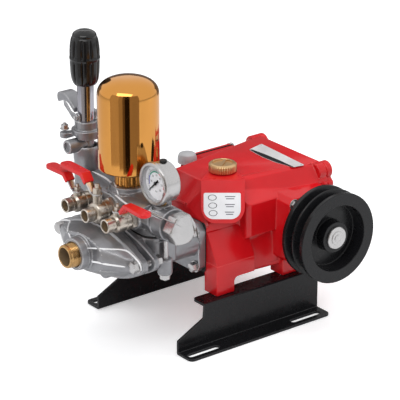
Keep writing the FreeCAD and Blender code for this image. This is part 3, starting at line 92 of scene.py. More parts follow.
# Node materials
class Finish:
    """One procedural material, built from nodes that read the piece's own coordinates."""

    def __init__(self, name):
        self.material = bpy.data.materials.new(name)
        self.material.use_nodes = True
        self.tree = self.material.node_tree
        self.shader = self.tree.nodes["Principled BSDF"]
        self.place = self.node("ShaderNodeTexCoord").outputs["Object"]

    def node(self, kind, links=None, **settings):
        """Adds a node; links holds what feeds each of its sockets."""
        item = self.tree.nodes.new(kind)
        for key, value in settings.items():
            setattr(item, key, value)
        for socket, source in (links or {}).items():
            self.link(item.inputs[socket], source)
        return item

    def link(self, socket, source):
        """Feeds a socket from another one or with a plain value."""
        if hasattr(source, "links"):
            self.tree.links.new(source, socket)
        else:
            socket.default_value = source

    def set(self, **values):
        """Feeds the shader's own sockets, named with underscores for spaces."""
        for name, value in values.items():
            self.link(self.shader.inputs[name.replace("_", " ")], value)

    def noise(self, scale, detail=2.0, rough=0.5):
        """Grey noise over the piece's own coordinates."""
        return self.node("ShaderNodeTexNoise", {
            "Vector": self.place, "Scale": scale, "Detail": detail, "Roughness": rough,
        }).outputs["Fac"]

    def ramp(self, fac, dark, light):
        """Runs from one colour to another over the middle of a noise."""
        item = self.node("ShaderNodeValToRGB", {"Fac": fac})
        for point, position, colour in zip(item.color_ramp.elements, (0.3, 0.7), (dark, light)):
            point.position = position
            point.color = (*colour, 1)
        return item.outputs["Color"]

    def span(self, fac, low, high, start=0.3, end=0.7):
        """Runs from one value to another over the middle of a noise."""
        return self.node("ShaderNodeMapRange", {
            "Value": fac, "From Min": start, "From Max": end, "To Min": low, "To Max": high,
        }).outputs["Result"]

    def bump(self, height, strength, distance, before=None):
        """Fine relief, over another one where there is one before it."""
        links = {"Height": height, "Strength": strength, "Distance": distance}
        if before:
            links["Normal"] = before
        return self.node("ShaderNodeBump", links).outputs["Normal"]

    def edge_highlight(self, colour, edge, width=0.0015):
        """Paints a highlight in the edge colour as a thin line along sharp edges."""
        soft = self.node("ShaderNodeBevel", {"Radius": width}, samples=4)
        flat = self.node("ShaderNodeNewGeometry")
        close = self.node("ShaderNodeVectorMath", {0: soft.outputs["Normal"], 1: flat.outputs["Normal"]},
                          operation="DOT_PRODUCT").outputs["Value"]
        highlight_mask = self.span(close, 1.0, 0.0, 0.86, 0.995)
        return self.node("ShaderNodeMix", {"Factor": highlight_mask, "A": colour, "B": (*edge, 1)},
                         data_type="RGBA").outputs["Result"]


def shade(colour, factor):
    """A darker or lighter tone of a colour."""
    return tuple(c * factor for c in colour)


def painted(name, colour, rough, peel, gloss, wave=0.2, edge=None):
    """Enamel with a little orange peel, duller patches and, where it has an edge colour, a painted highlight
    along sharp edges.
    """
    f = Finish(name)
    tone = f.ramp(f.noise(14, 3), shade(colour, 0.9), shade(colour, 1.06))
    normal = f.bump(f.noise(45, 2), wave, 0.0007)
    # Where there is an edge colour, it is a painted highlight along sharp edges
    f.set(Base_Color=f.edge_highlight(tone, edge) if edge else tone,
          Roughness=f.span(f.noise(60, 4), rough * 0.8, rough * 1.3),
          Normal=f.bump(f.noise(330, 3), peel, 0.0006, normal),
          Specular_IOR_Level=gloss, IOR=1.5)
    return f.material


def cast_metal(name, colour, rough, sand, edge=None, metal=0.8):
    """Silver-painted casting: fine sand texture, soft waves, dull patches and a bright painted highlight
    along sharp edges.
    """
    f = Finish(name)
    tone = f.ramp(f.noise(38, 5, 0.6), shade(colour, 0.84), shade(colour, 1.1))
    normal = f.bump(f.noise(40, 2), 0.12, 0.0010)
    normal = f.bump(f.noise(900, 3, 0.6), sand, 0.0004, normal)
    # Where there is an edge colour, it is a painted highlight along sharp edges
    f.set(Base_Color=f.edge_highlight(tone, edge, 0.0018) if edge else tone,
          Metallic=metal,
          Roughness=f.span(f.noise(120, 4), rough * 0.8, rough * 1.3),
          Normal=normal)
    return f.material


def bright_metal(name, colour, rough, depth=0.02, tint=0.9):
    """Plated or machined metal with fine marks."""
    f = Finish(name)
    marks = f.noise(1400, 3)
    f.set(Base_Color=f.ramp(f.noise(30, 4), shade(colour, tint), colour),
          Metallic=1.0,
          Roughness=f.span(marks, rough * 0.9, rough * 1.2),
          Normal=f.bump(marks, depth, 0.0001))
    return f.material


def plastic(name, colour, rough, grain):
    """Moulded plastic, card or rubber with a fine skin."""
    f = Finish(name)
    f.set(Base_Color=f.ramp(f.noise(25, 3), shade(colour, 0.9), shade(colour, 1.08)),
          Roughness=f.span(f.noise(90, 3), rough * 0.85, rough * 1.2),
          Normal=f.bump(f.noise(700, 2), grain, 0.0003))
    return f.material


def clear_glass():
    """Thin pane with next to no bend in it."""
    f = Finish("gauge_glass")
    f.set(Base_Color=f.ramp(f.noise(20, 2), (0.97, 0.98, 0.98), (1, 1, 1)),
          Roughness=f.span(f.noise(60, 3), 0.0, 0.03), Transmission_Weight=1.0, IOR=1.05,
          Specular_IOR_Level=0.6)
    return f.material


finishes = {
    # The last colour of red_paint, black_paint and cast_silver is a painted highlight along sharp edges
    "red_paint": painted("red_enamel", (0.58, 0.006, 0.010), 0.20, 0.08, 0.42, 0.15, (0.80, 0.07, 0.065)),
    "black_paint": painted("black_powder_coat", (0.006, 0.006, 0.007), 0.24, 0.12, 0.28, 0.1,
                           (0.07, 0.07, 0.072)),
    "pulley_black": painted("pulley_black_paint", (0.007, 0.007, 0.008), 0.26, 0.2, 0.30),
    "cast_silver": cast_metal("silver_casting", (0.30, 0.30, 0.315), 0.36, 0.22, (0.85, 0.85, 0.86)),
    # Dull dark brown in place of bare brass inside the bores, a painted shade
    "inner_brass": painted("shaded_bore", (0.20, 0.135, 0.075), 0.35, 0.05, 0.6),
    # Near-white finish of the cast ridges, a painted highlight
    "cast_edge": cast_metal("rubbed_casting_edge", (0.95, 0.95, 0.96), 0.42, 0.1, metal=0.3),
    "nickel": bright_metal("nickel_plate", (0.60, 0.54, 0.47), 0.27),
    "steel": bright_metal("zinc_steel", (0.56, 0.55, 0.55), 0.26),
    "chrome": bright_metal("chrome_tube", (0.42, 0.41, 0.45), 0.07, depth=0.01),
    "gold": bright_metal("gold_lacquer", (0.68, 0.31, 0.075), 0.07, depth=0.003, tint=0.95),
    "brass": bright_metal("machined_brass", (0.56, 0.34, 0.14), 0.24),
    "cap_brass": bright_metal("satin_brass", (0.74, 0.49, 0.25), 0.33),
    "red_vinyl": painted("dipped_red_vinyl", (0.66, 0.014, 0.016), 0.22, 0.05, 0.4),
    "black_plastic": painted("black_knob_plastic", (0.005, 0.005, 0.0055), 0.16, 0.05, 0.45),
    "gasket": plastic("gasket_board", (0.012, 0.012, 0.012), 0.7, 0.3),
    "grey_plastic": plastic("grey_cap_plastic", (0.42, 0.42, 0.43), 0.4, 0.15),
    "tag_red": painted("tag_red_card", (0.58, 0.008, 0.012), 0.3, 0.03, 0.2),
    "white_card": plastic("white_card", (0.72, 0.72, 0.74), 0.4, 0.02),
    "grey_print": plastic("grey_print", (0.10, 0.10, 0.12), 0.5, 0.02),
    "black_print": painted("black_print", (0.008, 0.008, 0.010), 0.4, 0.02, 0.2),
    "blue_print": plastic("blue_print", (0.07, 0.08, 0.30), 0.4, 0.02),
    "green_print": plastic("green_print", (0.03, 0.26, 0.17), 0.4, 0.02),
    "red_print": plastic("red_print", (0.55, 0.02, 0.02), 0.4, 0.02),
    "bare_plate": cast_metal("bare_aluminium_plate", (0.62, 0.60, 0.60), 0.5, 0.04, metal=0.1),
    "glass": clear_glass(),
}
body_of = {node: body for body, held in record["behaviour"]["bodies"].items() for node in held}
finish_of = {row["node"]: row["material_slot"] for row in record["subparts"]}
for part, finish in finish_of.items():
    for holder in nodes[part].material_slots:
        holder.material = finishes[finish]


# Shapes are made standing on the origin, in millimetres, and then put in their place
def placing(at, axis=UP, side=None):
    """Where a shape stands, the way it points, and the way its own X looks."""
    up = Vector(axis).normalized()
    side = Vector(side).normalized() if side else up.orthogonal().normalized()
    side = (side - up * side.dot(up)).normalized()
    turn = Matrix((side, up.cross(side), up)).transposed().to_4x4()
    return Matrix.Translation(Vector(at) * MM) @ turn @ Matrix.Scale(MM, 4)


def turned(profile, steps=48):
    """A turned shape from pairs of radius and height."""
    shape = bmesh.new()
    points = [shape.verts.new((radius, 0, height)) for radius, height in profile]
    lines = [shape.edges.new(pair) for pair in zip(points, points[1:])]
    bmesh.ops.spin(shape, geom=points + lines, cent=(0, 0, 0), axis=(0, 0, 1), angle=FULL, steps=steps,
                   use_merge=True)
    return shape


def lift(shape, faces):
    """Extrudes faces, and gives the corner points that may now be moved."""
    made = bmesh.ops.extrude_face_region(shape, geom=faces)["geom"]
    return [item for item in made if isinstance(item, bmesh.types.BMVert)]


def plate(corners, thick, rounds=()):
    """A flat plate from its corner points, some of them rounded."""
    shape = bmesh.new()
    points = [shape.verts.new((x, y, 0)) for x, y in corners]
    shape.faces.new(points)
    for point, radius in zip(points, rounds):
        if radius:
            bmesh.ops.bevel(shape, geom=[point], offset=radius, offset_type="OFFSET", affect="VERTICES",
                            segments=8, profile=0.5, material=-1)
    bmesh.ops.translate(shape, verts=lift(shape, shape.faces[:]), vec=(0, 0, thick))
    return shape


def rectangle(half, start, end):
    """The corners of a rectangle that is centred on the Y axis."""
    return [(-half, start), (half, start), (half, end), (-half, end)]


def hexagon(across, height):
    """A hexagon head or nut with its corners turned off."""
    shape = bmesh.new()
    half = across / 2
    crown = 0.94
    for point in bmesh.ops.create_circle(shape, cap_ends=True, segments=48, radius=1)["verts"]:
        point.co *= half / math.cos(math.atan2(point.co.y, point.co.x) % (math.pi / 3) - math.pi / 6)
    for point in lift(shape, shape.faces[:]):
        point.co.z = height - (point.co.xy.length - half * crown) * 0.55
    top = max(shape.faces, key=lambda face: face.calc_center_median().z)
    for point in lift(shape, [top]):
        point.co.xy = point.co.xy.normalized() * half * crown
        point.co.z = height
    return shape


def threaded(radius, length, pitch, depth, core=0.0, lead=1.0):
    """A screw end as a row of ridges, with a chamfered lead-in; core is the radius of its bore."""
    profile = [(core, 0), (radius - depth, 0)]
    for turn in range(int((length - lead) / pitch)):
        low = turn * pitch
        profile += [(radius - depth, low + 0.1 * pitch), (radius, low + 0.45 * pitch),
                    (radius, low + 0.55 * pitch), (radius - depth, low + 0.9 * pitch)]
    profile += [(radius - depth, length - lead * 0.4), (radius - depth - lead * 0.4, length), (core, length)]
    return turned(profile)


def washer(radius, hole, thick):
    """A flat ring with its outer edge broken."""
    edge = min(0.4, thick / 3)
    return turned([(hole, 0), (radius - edge, 0), (radius, edge), (radius, thick - edge),
                   (radius - edge, thick), (hole, thick), (hole, 0)], 40)


class Piece:
    """A piece in the making. Its shapes are put in their places one after another."""

    def __init__(self):
        self.whole = bmesh.new()

    def add(self, shape, at=(0, 0, 0), axis=UP, side=None, place=None):
        """Joins a shape to the piece, its doubles merged and its normals turned outwards."""
        bmesh.ops.remove_doubles(shape, verts=shape.verts, dist=0.002)
        bmesh.ops.recalc_face_normals(shape, faces=shape.faces)
        bmesh.ops.transform(shape, matrix=place or placing(at, axis, side), verts=shape.verts)
        carrier = bpy.data.meshes.new("carrier")
        shape.to_mesh(carrier)
        shape.free()
        self.whole.from_mesh(carrier)
        bpy.data.meshes.remove(carrier)
        return self

    def screw(self, at, axis, across, height, foot, tail=0.0, side=None):
        """A hexagon head on its washer; foot is the washer's radius, tail the thread's end past a nut."""
        at, way, thick = Vector(at), Vector(axis), 1.6
        self.add(washer(foot, 3, thick), at, way)
        self.add(hexagon(across, height), at + way * thick, way, side)
        if tail:
            self.add(threaded(across * 0.29, tail, 1.25, 0.5), at + way * (height + thick - 0.2), way)

    def made(self, name, finish, body="pump", stands_for=(), sharp=32):
        """Makes the shapes so far into one finished piece."""
        mesh = bpy.data.meshes.new(name)
        self.whole.to_mesh(mesh)
        self.whole.free()
        return dressed(name, mesh, finish, body, stands_for, sharp)


def dressed(name, mesh, finish, body="pump", stands_for=(), sharp=32):
    """Makes a mesh a piece with its finish, the body it rides on and the nodes it stands for."""
    mesh.shade_smooth()
    mesh.set_sharp_from_angle(angle=math.radians(sharp))
    mesh.materials.clear()
    mesh.materials.append(finishes[finish])
    piece = bpy.data.objects.new(name, mesh)
    bpy.context.scene.collection.objects.link(piece)
    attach(piece, body)
    if stands_for:
        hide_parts(*stands_for)
    return piece


def softened(node, width):
    """A part with smooth curved faces and edges rounded as a foundry or press leaves them."""
    shape = bmesh.new()
    shape.from_mesh(nodes[node].data)
    bmesh.ops.remove_doubles(shape, verts=shape.verts, dist=0.002 * MM)
    bmesh.ops.dissolve_limit(shape, angle_limit=math.radians(0.3), verts=shape.verts, edges=shape.edges)
    mesh = bpy.data.meshes.new(node + "_shown")
    shape.to_mesh(mesh)
    shape.free()
    piece = dressed(node + "_shown", mesh, finish_of[node], body_of[node], (node,))
    if width:
        round_edges(piece, width, segments=2, angle=30, clamp=False)


def round_edges(piece, width, segments, angle, clamp):
    """Rounds the edges of a finished piece that are sharper than an angle."""
    edge = piece.modifiers.new("edges", "BEVEL")
    edge.width = width * MM
    edge.segments = segments
    edge.limit_method = "ANGLE"
    edge.angle_limit = math.radians(angle)
    edge.use_clamp_overlap = clamp


# Castings, forgings and sheet parts, each with the width of its edges in millimetres
for part, edge in {
    "crankcase": 1.6, "rear_cover": 1.6, "far_bearing_cover": 1.4, "far_gasket": 0, "near_seal_ring": 0.8,
    "crankshaft": 0.6, "pulley": 0.9, "breather_cap": 1.2, "cylinder_block": 1.6, "suction_cover": 1.8,
    "discharge_manifold": 1.6, "head_gasket": 0.4, "manifold_plug": 0.8, "air_chamber_collar": 0.8,
    "gauge_case": 1.0, "gauge_bezel": 0.8, "gauge_stem": 0.4, "gauge_plug": 0.5,
    "regulator_bonnet": 1.2, "relief_pin": 0.3,
    "valve_near_lever": 0.5, "valve_middle_lever": 0.5, "valve_far_lever": 0.5,
    "valve_near_grip": 1.2, "valve_middle_grip": 1.2, "valve_far_grip": 1.2,
    "hang_tag": 0.25, "rail_near": 0.5, "rail_far": 0.5, "head_stud_near": 0, "head_stud_far": 0,
}.items():
    softened(part, edge)


# Air chamber and its neighbours on the manifold
def air_chamber():
    """The chamber's drawn shell: a rolled foot, a straight wall and a crown squarer than a half ball."""
    radius, wall, rise = 49, 121, 29.5
    power = 2 / 2.45
    crown = [(radius * math.cos(math.radians(t)) ** power, wall + rise * math.sin(math.radians(t)) ** power)
             for t in (2, 5, 9, 13, 18, 23, 28, 34, 40, 46, 52, 58, 64, 70, 75, 80, 84, 87)]
    foot = [(0, 0), (44.6, 0), (46.4, 0.5), (48, 1.7), (48.8, 3.2), (radius, 5)]
    shell = turned(foot + [(radius, 60), (radius, wall)] + crown + [(0, wall + rise)], 128)
    Piece().add(shell, (HEAD_X, 0, foot_of("air_chamber"))).made(
        "air_chamber_shown", "gold", stands_for=["air_chamber"], sharp=50)


def inlet_nipple():
    """The threaded brass inlet with its collar and rim, its shaded bore and the cast boss round its root."""
    root = Vector((corners_of("inlet_nipple")[1].x, 0, place_of("inlet_thread").z))
    wall, length = 16.3, 7.5
    nipple = threaded(19.5, 20, 2.3, 0.55, wall, 2.0)
    collar = turned([(wall, 0), (20.0, 0), (20.7, 0.7), (20.7, length - 0.7), (20.0, length),
                     (wall, length)], 64)
    rim = turned([(14.6, -10), (14.6, 27.9), (15.1, 28.6), (17.4, 28.6), (17.9, 28.0), (17.9, 20),
                  (wall, 20)], 64)
    piece = Piece()
    piece.add(nipple, root + Vector(AHEAD) * length, AHEAD)
    piece.add(collar, root, AHEAD)
    piece.add(rim, root, AHEAD)
    piece.made("inlet_nipple_shown", "brass", stands_for=["inlet_nipple"])
    # The bore wall is dull dark brown, a painted shade in place of bare brass
    bore = turned([(14.55, 28.4), (14.5, -10), (9, -14), (0, -15)], 64)
    Piece().add(bore, root, AHEAD).made("inlet_bore_wall", "inner_brass")
    boss = turned([(20.2, 0), (26.9, 0), (26.6, 8), (26.0, 11.4), (24.8, 12.6), (21.6, 12.6), (20.9, 11.6),
                   (20.2, 0)], 64)
    Piece().add(boss, root - Vector(AHEAD) * 0.5, AHEAD).made("inlet_boss_rim", "cast_silver")


def ball_valve(name, flats):
    """Valve body: hexagon at the manifold, ringed barrel, grooved hose end, neck and the ball inside."""
    low, high = corners_of(f"valve_{name}_body")
    stem, axis_z = place_of(f"{name}_valve_turn"), place_of(f"{name}_hose_end").z
    root = Vector((high.x, stem.y, axis_z))
    neck_foot = Vector((stem.x, stem.y, axis_z))
    radius, neck_height = (high.y - low.y) / 2, high.z - axis_z
    hose_end, bore = 11.5, 8.7
    barrel = turned([(0, 8.6), (radius - 1.6, 8.6), (radius - 1.6, 10.4), (radius, 11.2), (radius, 17.4),
                     (radius - 0.8, 18.0), (radius - 0.8, 19.2), (radius, 19.8), (radius, 32.5),
                     (radius - 0.6, 34.2), (radius - 2.2, 36), (12.4, 37), (10.4, 37.2), (10.4, 39)], 56)
    end = turned([(10.4, 37), (hose_end, 38), (hose_end, 42.2), (11.1, 42.6), (11.1, 43.4), (hose_end, 43.8),
                  (hose_end, 52.2), (10.9, 53), (9.2, 53), (bore, 52.4), (bore, 51), (10, 51)], 56)
    ball = turned([(bore + 0.05, 52.5), (bore, 35), (7.0, 36.6), (5.5, 37.6), (3.4, 38.4), (1.4, 38.8),
                   (0, 38.9)], 40)
    neck = turned([(0, 0), (8.4, 0), (8.4, 3.2), (7.4, 4), (7.4, neck_height - 2), (6.2, neck_height),
                   (0, neck_height)], 36)
    piece = Piece()
    piece.add(hexagon(flats, 9), root, AHEAD, UP)
    piece.add(barrel, root, AHEAD)
    piece.add(end, root, AHEAD)
    # The ball and bore are dull dark brown, a painted shade in place of bare metal
    Piece().add(ball, root, AHEAD).made(f"valve_{name}_bore", "inner_brass")
    piece.add(neck, neck_foot)
    piece.add(hexagon(11.5, 3.4), raised(neck_foot, neck_height - 3.6))
    piece.made(f"valve_{name}_body_shown", "nickel", stands_for=[f"valve_{name}_body"])


def valve_nut(name):
    """The nut on a valve's stem, with the stem's thread standing out of it."""
    low, high = corners_of(f"valve_{name}_nut")
    radius, whole = round((high.x - low.x) / 2, 1), high.z - low.z
    height = whole * 0.58
    stem = place_of(f"{name}_valve_turn")
    foot = Vector((stem.x, stem.y, low.z))
    nut = Piece()
    nut.add(hexagon(radius * 1.62, height), foot)
    nut.add(threaded(radius * 0.52, whole - height, 1.0, 0.35, 0, 0.8), raised(foot, height))
    nut.made(f"valve_{name}_nut_shown", "nickel", f"{name}_lever", [f"valve_{name}_nut"])


def oil_cap():
    """Brass filler cap with a knurled rim and a bridge across its hollow."""
    steps, rim, groove = 108, 22.5, 0.945
    cap = turned([(0, 0), (15, 0), (15, 2.2), (21.4, 2.2), (22.9, 3.4), (22.9, 13.6), (21.3, 15.3),
                  (18.6, 16.3), (17.2, 16.3), (16.6, 15.6), (16.3, 13.8), (0, 13.6)], steps)
    bmesh.ops.remove_doubles(cap, verts=cap.verts, dist=0.002)
    for point in cap.verts:
        step = round(math.atan2(point.co.y, point.co.x) / FULL * steps)
        if point.co.xy.length > rim and step % 3 == 0:
            point.co.xy *= groove
    bridge_half, thick, corner = 15.8, 2.6, 1.2
    bridge = plate(rectangle(bridge_half, -thick, thick), thick, (corner,) * 4)
    piece = Piece()
    piece.add(cap, CAP_AT)
    piece.add(bridge, raised(CAP_AT, 13.3), side=(0.79, 0.61, 0))
    piece.made("oil_cap_shown", "cap_brass", stands_for=["oil_cap"], sharp=25)


def regulator_body():
    """The regulator's cup with its rim, the neck that stands in it and the by-pass port."""
    cup = turned([(0, 0), (20.5, 0), (20.5, 44), (21.4, 46), (21.4, 66.5), (20.8, 69), (19.4, 70.2),
                  (18.2, 69.6), (17.6, 67.6), (17.2, 60), (13.2, 58.5), (12.6, 60), (12.6, 84), (0, 84)], 64)
    port = turned([(0, 0), (11.7, 0), (11.7, 34), (11.0, 35.2), (9.4, 35.6), (8.2, 35), (7.8, 32), (0, 31)])
    foot, port_height = foot_of("regulator_body"), 73
    piece = Piece()
    piece.add(cup, (HEAD_X, REGULATOR_Y, foot))
    piece.add(port, (HEAD_X - 3, REGULATOR_Y, foot + port_height), AHEAD)
    piece.made("regulator_body_shown", "cast_silver", stands_for=["regulator_body"], sharp=40)


def regulator_knob():
    """Black screw knob: fluted in two tiers, with a ring between them and a stepped cap."""
    lower = [(0, 0), (14.5, 0), (17.5, 1.2), (19.6, 4), (21.3, 8), (22.4, 13), (23.2, 20), (23.7, 28),
             (24.0, 36), (24.1, 41), (24.1, 43.6)]
    ring = [(24.6, 44.4), (24.6, 46.2)]
    upper = [(24.1, 47), (24.1, 51), (24.0, 57), (23.6, 64), (22.9, 70), (22.0, 75), (21.0, 78.4),
             (19.8, 80.2)]
    cap = [(19.3, 80.6), (19.3, 81.4), (19.6, 81.9), (18.9, 84.4), (17.2, 86.6), (14.4, 88.5), (12.0, 89.3),
           (11.4, 89.9), (10.6, 90), (9.6, 89.3), (0, 89.1)]
    flutes = 10
    knob = turned(lower + ring + upper + cap, 120)
    bmesh.ops.remove_doubles(knob, verts=knob.verts, dist=0.002)
    for point in knob.verts:
        height, radius = point.co.z, point.co.xy.length
        if radius < 17 or 43 < height < 48 or height > 80:
            continue
        panel = math.atan2(point.co.y, point.co.x) / FULL * flutes % 1
        groove = abs(2 * panel - 1) ** 6
        fade = min(1, (height - 2) / 9, (80 - height) / 7, abs(height - 45.3) / 4)
        point.co.xy *= 1 - 0.10 * groove * max(fade, 0)
    Piece().add(knob, (HEAD_X, REGULATOR_Y, foot_of("regulator_knob"))).made(
        "regulator_knob_shown", "black_plastic", "pressure_knob", ["regulator_knob"], 50)


def relief_lever():
    """Cast lifting lever: a fork on the pin and a thumb plate that curls over."""
    low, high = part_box("relief_lever")
    half = (high.x - low.x) / MM / 2
    cheek, width = 3.6, 24
    arm = [(-5.6, -2.6), (-2.6, -5.6), (3, -5.6), (9, -3.4), (17.7, 3.5), (30.8, 12), (33, 20.5), (26, 17.6),
           (14.4, 7.4), (3, 5.6), (-2.6, 5.6), (-5.6, 2.6)]
    thumb = [(15.6, 1.6), (24, 7.6), (30.8, 12.6), (37, 14.4), (43.8, 14.8), (50, 13.4), (55.5, 10.6),
             (60, 8.6), (62.4, 9.8), (63.8, 14), (64, 19.5), (62.4, 23.6), (59, 26), (53, 27), (46, 27),
             (40.6, 26), (33.5, 22.8), (26, 17.4), (15.6, 9.6)]
    pin = place_of("relief_lift")
    piece = Piece()
    slices = ((-half, arm, cheek), (half - cheek, arm, cheek), (-width / 2, thumb, width))
    for start, outline, thick in slices:
        piece.add(plate(outline, thick), pin + Vector((start, 0, 0)), BEHIND, (0, 1, 0))
    shown = piece.made("relief_lever_shown", "cast_silver", "relief_handle", ["relief_lever"])
    round_edges(shown, 1.3, segments=3, angle=25, clamp=True)


def regulator_tube():
    """Plain chromed tube, stepped where it enters the knob."""
    tube = turned([(0, 0), (13.5, 0), (13.5, 3), (13.5, 98), (12.9, 99), (12.9, 101), (0, 101)], 64)
    Piece().add(tube, (HEAD_X, REGULATOR_Y, foot_of("regulator_tube"))).made(
        "regulator_tube_shown", "chrome", stands_for=["regulator_tube"])


# Gauge: dial, print, needle and glass
def dial_arc(inner, outer, start, end):
    """A thin printed band between two radii and two angles."""
    shape = bmesh.new()
    angle = math.radians(start)
    points = [shape.verts.new((radius * math.cos(angle), radius * math.sin(angle), 0))
              for radius in (inner, outer)]
    line = shape.edges.new(points)
    bmesh.ops.spin(shape, geom=points + [line], cent=(0, 0, 0), axis=(0, 0, 1),
                   angle=math.radians(end - start), steps=max(2, int(abs(end - start) / 5)))
    bmesh.ops.translate(shape, verts=lift(shape, shape.faces[:]), vec=(0, 0, 0.12))
    return shape


def needle():
    """Tapered pointer with a balance tail."""
    edge = [(-8, -2.0), (-3, -1.4), (2, -1.4), (23, -0.6)]
    blade = plate(edge + [(24, 0)] + [(x, -y) for x, y in reversed(edge)], 0.8)
    Piece().add(blade, place_of("needle_swing"), AHEAD, (0, 1, -0.9)).made(
        "gauge_needle_shown", "black_print", "needle", ["gauge_needle"])


def gauge():
    """Dial with coloured bands, marks and plain numbers, the well round it, needle, hub and glass."""
    at = place_of("needle_swing") - Vector(AHEAD) * 1.4
    radius, thick = 29.3, 0.3
    look, right = AHEAD, (0, NEAR, 0)
    first, sweep, number_radius = 225, 270, 13.2
    dial = turned([(0, 0), (radius, 0), (radius, thick), (0, thick)], 72)
    Piece().add(dial, at, look).made("gauge_dial", "white_card")
    print_at = at + Vector(AHEAD) * thick
    for name, start, end in (("blue", 200, 152), ("green", 150, 72), ("red", 70, -18)):
        Piece().add(dial_arc(17.2, 19.6, start, end), print_at, look, right).made(
            f"gauge_{name}_band", f"{name}_print")
    marks = Piece()
    marks.add(dial_arc(20.6, 21.0, first - sweep, first), print_at, look, right)
    for step in range(31):
        angle = first - sweep / 30 * step
        reach, half = (25.2, 1.0) if step % 5 == 0 else (23.2, 0.5)
        marks.add(dial_arc(21.0, reach, angle - half, angle + half), print_at, look, right)
    for step in range(7):
        angle = math.radians(first - sweep / 6 * step)
        spot = print_at + Vector((0, -number_radius * math.cos(angle), number_radius * math.sin(angle)))
        marks.add(figures(str(step * 10), 5.0), spot, look, right)
    marks.add(figures("bar", 4.2), raised(print_at, -13.5), look, right)
    marks.made("gauge_marks", "black_print")
    depth = 5.6
    well = turned([(radius, 0), (radius, depth), (27.9, depth), (27.3, thick), (radius, thick)], 72)
    Piece().add(well, at, look).made("gauge_well", "grey_plastic")
    needle()
    hub = turned([(0, 0), (3.0, 0), (3.0, 1.0), (2.4, 1.6), (0, 1.6)], 32)
    Piece().add(hub, at + Vector(AHEAD) * 2.3, look).made("gauge_hub", "black_print", "needle")
    pane = turned([(0, 0), (28.9, 0), (28.9, 0.8), (0, 1.6)], 72)
    Piece().add(pane, at + Vector(AHEAD) * 5, look).made("gauge_glass", "glass")


def figures(words, size):
    """Plain figures as thin raised print."""
    curve = bpy.data.curves.new("figures", "FONT")
    curve.body, curve.size, curve.extrude = words, size, 0.06
    curve.align_x, curve.align_y = "CENTER", "CENTER"
    holder = bpy.data.objects.new("figures", curve)
    bpy.context.scene.collection.objects.link(holder)
    bpy.context.view_layer.update()
    mesh = bpy.data.meshes.new_from_object(holder)
    shape = bmesh.new()
    shape.from_mesh(mesh)
    bpy.data.objects.remove(holder)
    bpy.data.meshes.remove(mesh)
    return shape


# Bare plate on the deck and the plain print of the hang tag
def name_plate():
    """A bare plate with a dark band along its front edge and a rivet at either end."""
    deck, thick = 246.05, 0.5
    whole = [(150.9, 42.5), (143.8, -77.3), (122.5, -73.0), (114.2, -40.0), (112.4, -8.8), (116.7, 33.5)]
    Piece().add(plate(whole, thick, (3, 3, 3, 0, 0, 3)), (0, 0, deck), side=BEHIND).made(
        "name_plate", "bare_plate", sharp=20)
    band = [(122.0, -72.4), (114.7, -40.0), (112.9, -8.8), (117.0, 32.8), (121.0, 31.0), (124.0, 0),
            (125.0, -36.0), (124.0, -72.6)]
    Piece().add(plate(band, 0.15), (0, 0, deck + thick), side=BEHIND).made(
        "name_plate_band", "black_print")
    rivets = Piece()
    for spot in ((146.5, 38), (140.5, -73.0)):
        rivets.add(turned([(0, 0.9), (0.9, 0.7), (1.7, 0)], 16), (*spot, deck + 0.4))
    rivets.made("name_plate_rivets", "steel")


def tag_print():
    """The tag's pale panel, with three plain rings and pairs of bars where words would be."""
    across, outward = Vector((0.790, -0.613, 0)), Vector((-0.613, -0.790, 0))
    down = raised(outward * 0.582, -0.813)
    face = across.cross(-down).normalized()
    reach, rise, half_width = 38.5, 1.2, 29.6
    fold = raised(CAP_AT + outward * reach, rise)

    def on_tag(x, slope, height):
        return placing(fold + across * x + down * slope + face * height, face, across)

    panel = plate(rectangle(half_width, -1.5, -44.6), 0.25, (2.5, 2.5, 16, 16))
    Piece().add(panel, place=on_tag(-1.2, 20.2, 0.02)).made("tag_panel", "white_card")
    rings = Piece()
    bars = Piece()
    for row, slope in enumerate((29.5, 42.5, 55.0)):
        ring = turned([(4.7, 0), (5.6, 0), (5.6, 0.12), (4.7, 0.12), (4.7, 0)], 32)
        bmesh.ops.scale(ring, verts=ring.verts, vec=(1.25, 0.85, 1))
        rings.add(ring, place=on_tag(-17 + row * 0.6, slope, 0.27))
        for line in (-1.7, 1.9):
            half = 8.2 - (1.6 if line > 0 else 0) - row * 0.4
            bar = plate(rectangle(half, -0.7, 0.7), 0.1)
            bars.add(bar, place=on_tag(11.5 - row * 0.5, slope + line, 0.27))
    rings.made("tag_rings", "black_print")
    bars.made("tag_bars", "grey_print")


# Ridges and front legs of the castings
def thin_ridges(label, node, toward, paths, width, sink):
    """Cast ridges on a node's skin: each path is dropped onto it along one way and sunk a little."""
    shape = bmesh.new()
    shape.from_mesh(nodes[node].data)
    skin = BVHTree.FromBMesh(shape)
    shape.free()
    lines = bpy.data.curves.new(label, "CURVE")
    lines.dimensions = "3D"
    lines.bevel_depth = width
    lines.bevel_resolution = 3
    lines.use_fill_caps = True
    for path in paths:
        hits = (skin.ray_cast(start, toward)[0] for start in path)
        spots = [spot + toward * sink for spot in hits if spot]
        line = lines.splines.new("NURBS")
        line.points.add(len(spots) - 1)
        for index, (point, spot) in enumerate(zip(line.points, spots)):
            point.co = (*spot, 1)
            point.radius = 0.35 if index in (0, len(spots) - 1) else 1.0
        line.order_u = 3
        line.use_endpoint_u = True
    holder = bpy.data.objects.new(label + "_line", lines)
    bpy.context.scene.collection.objects.link(holder)
    bpy.context.view_layer.update()
    mesh = bpy.data.meshes.new_from_object(holder)
    bpy.data.objects.remove(holder)
    # The ridges are near-white, a painted highlight along the castings' creases
    dressed(label, mesh, "cast_edge")


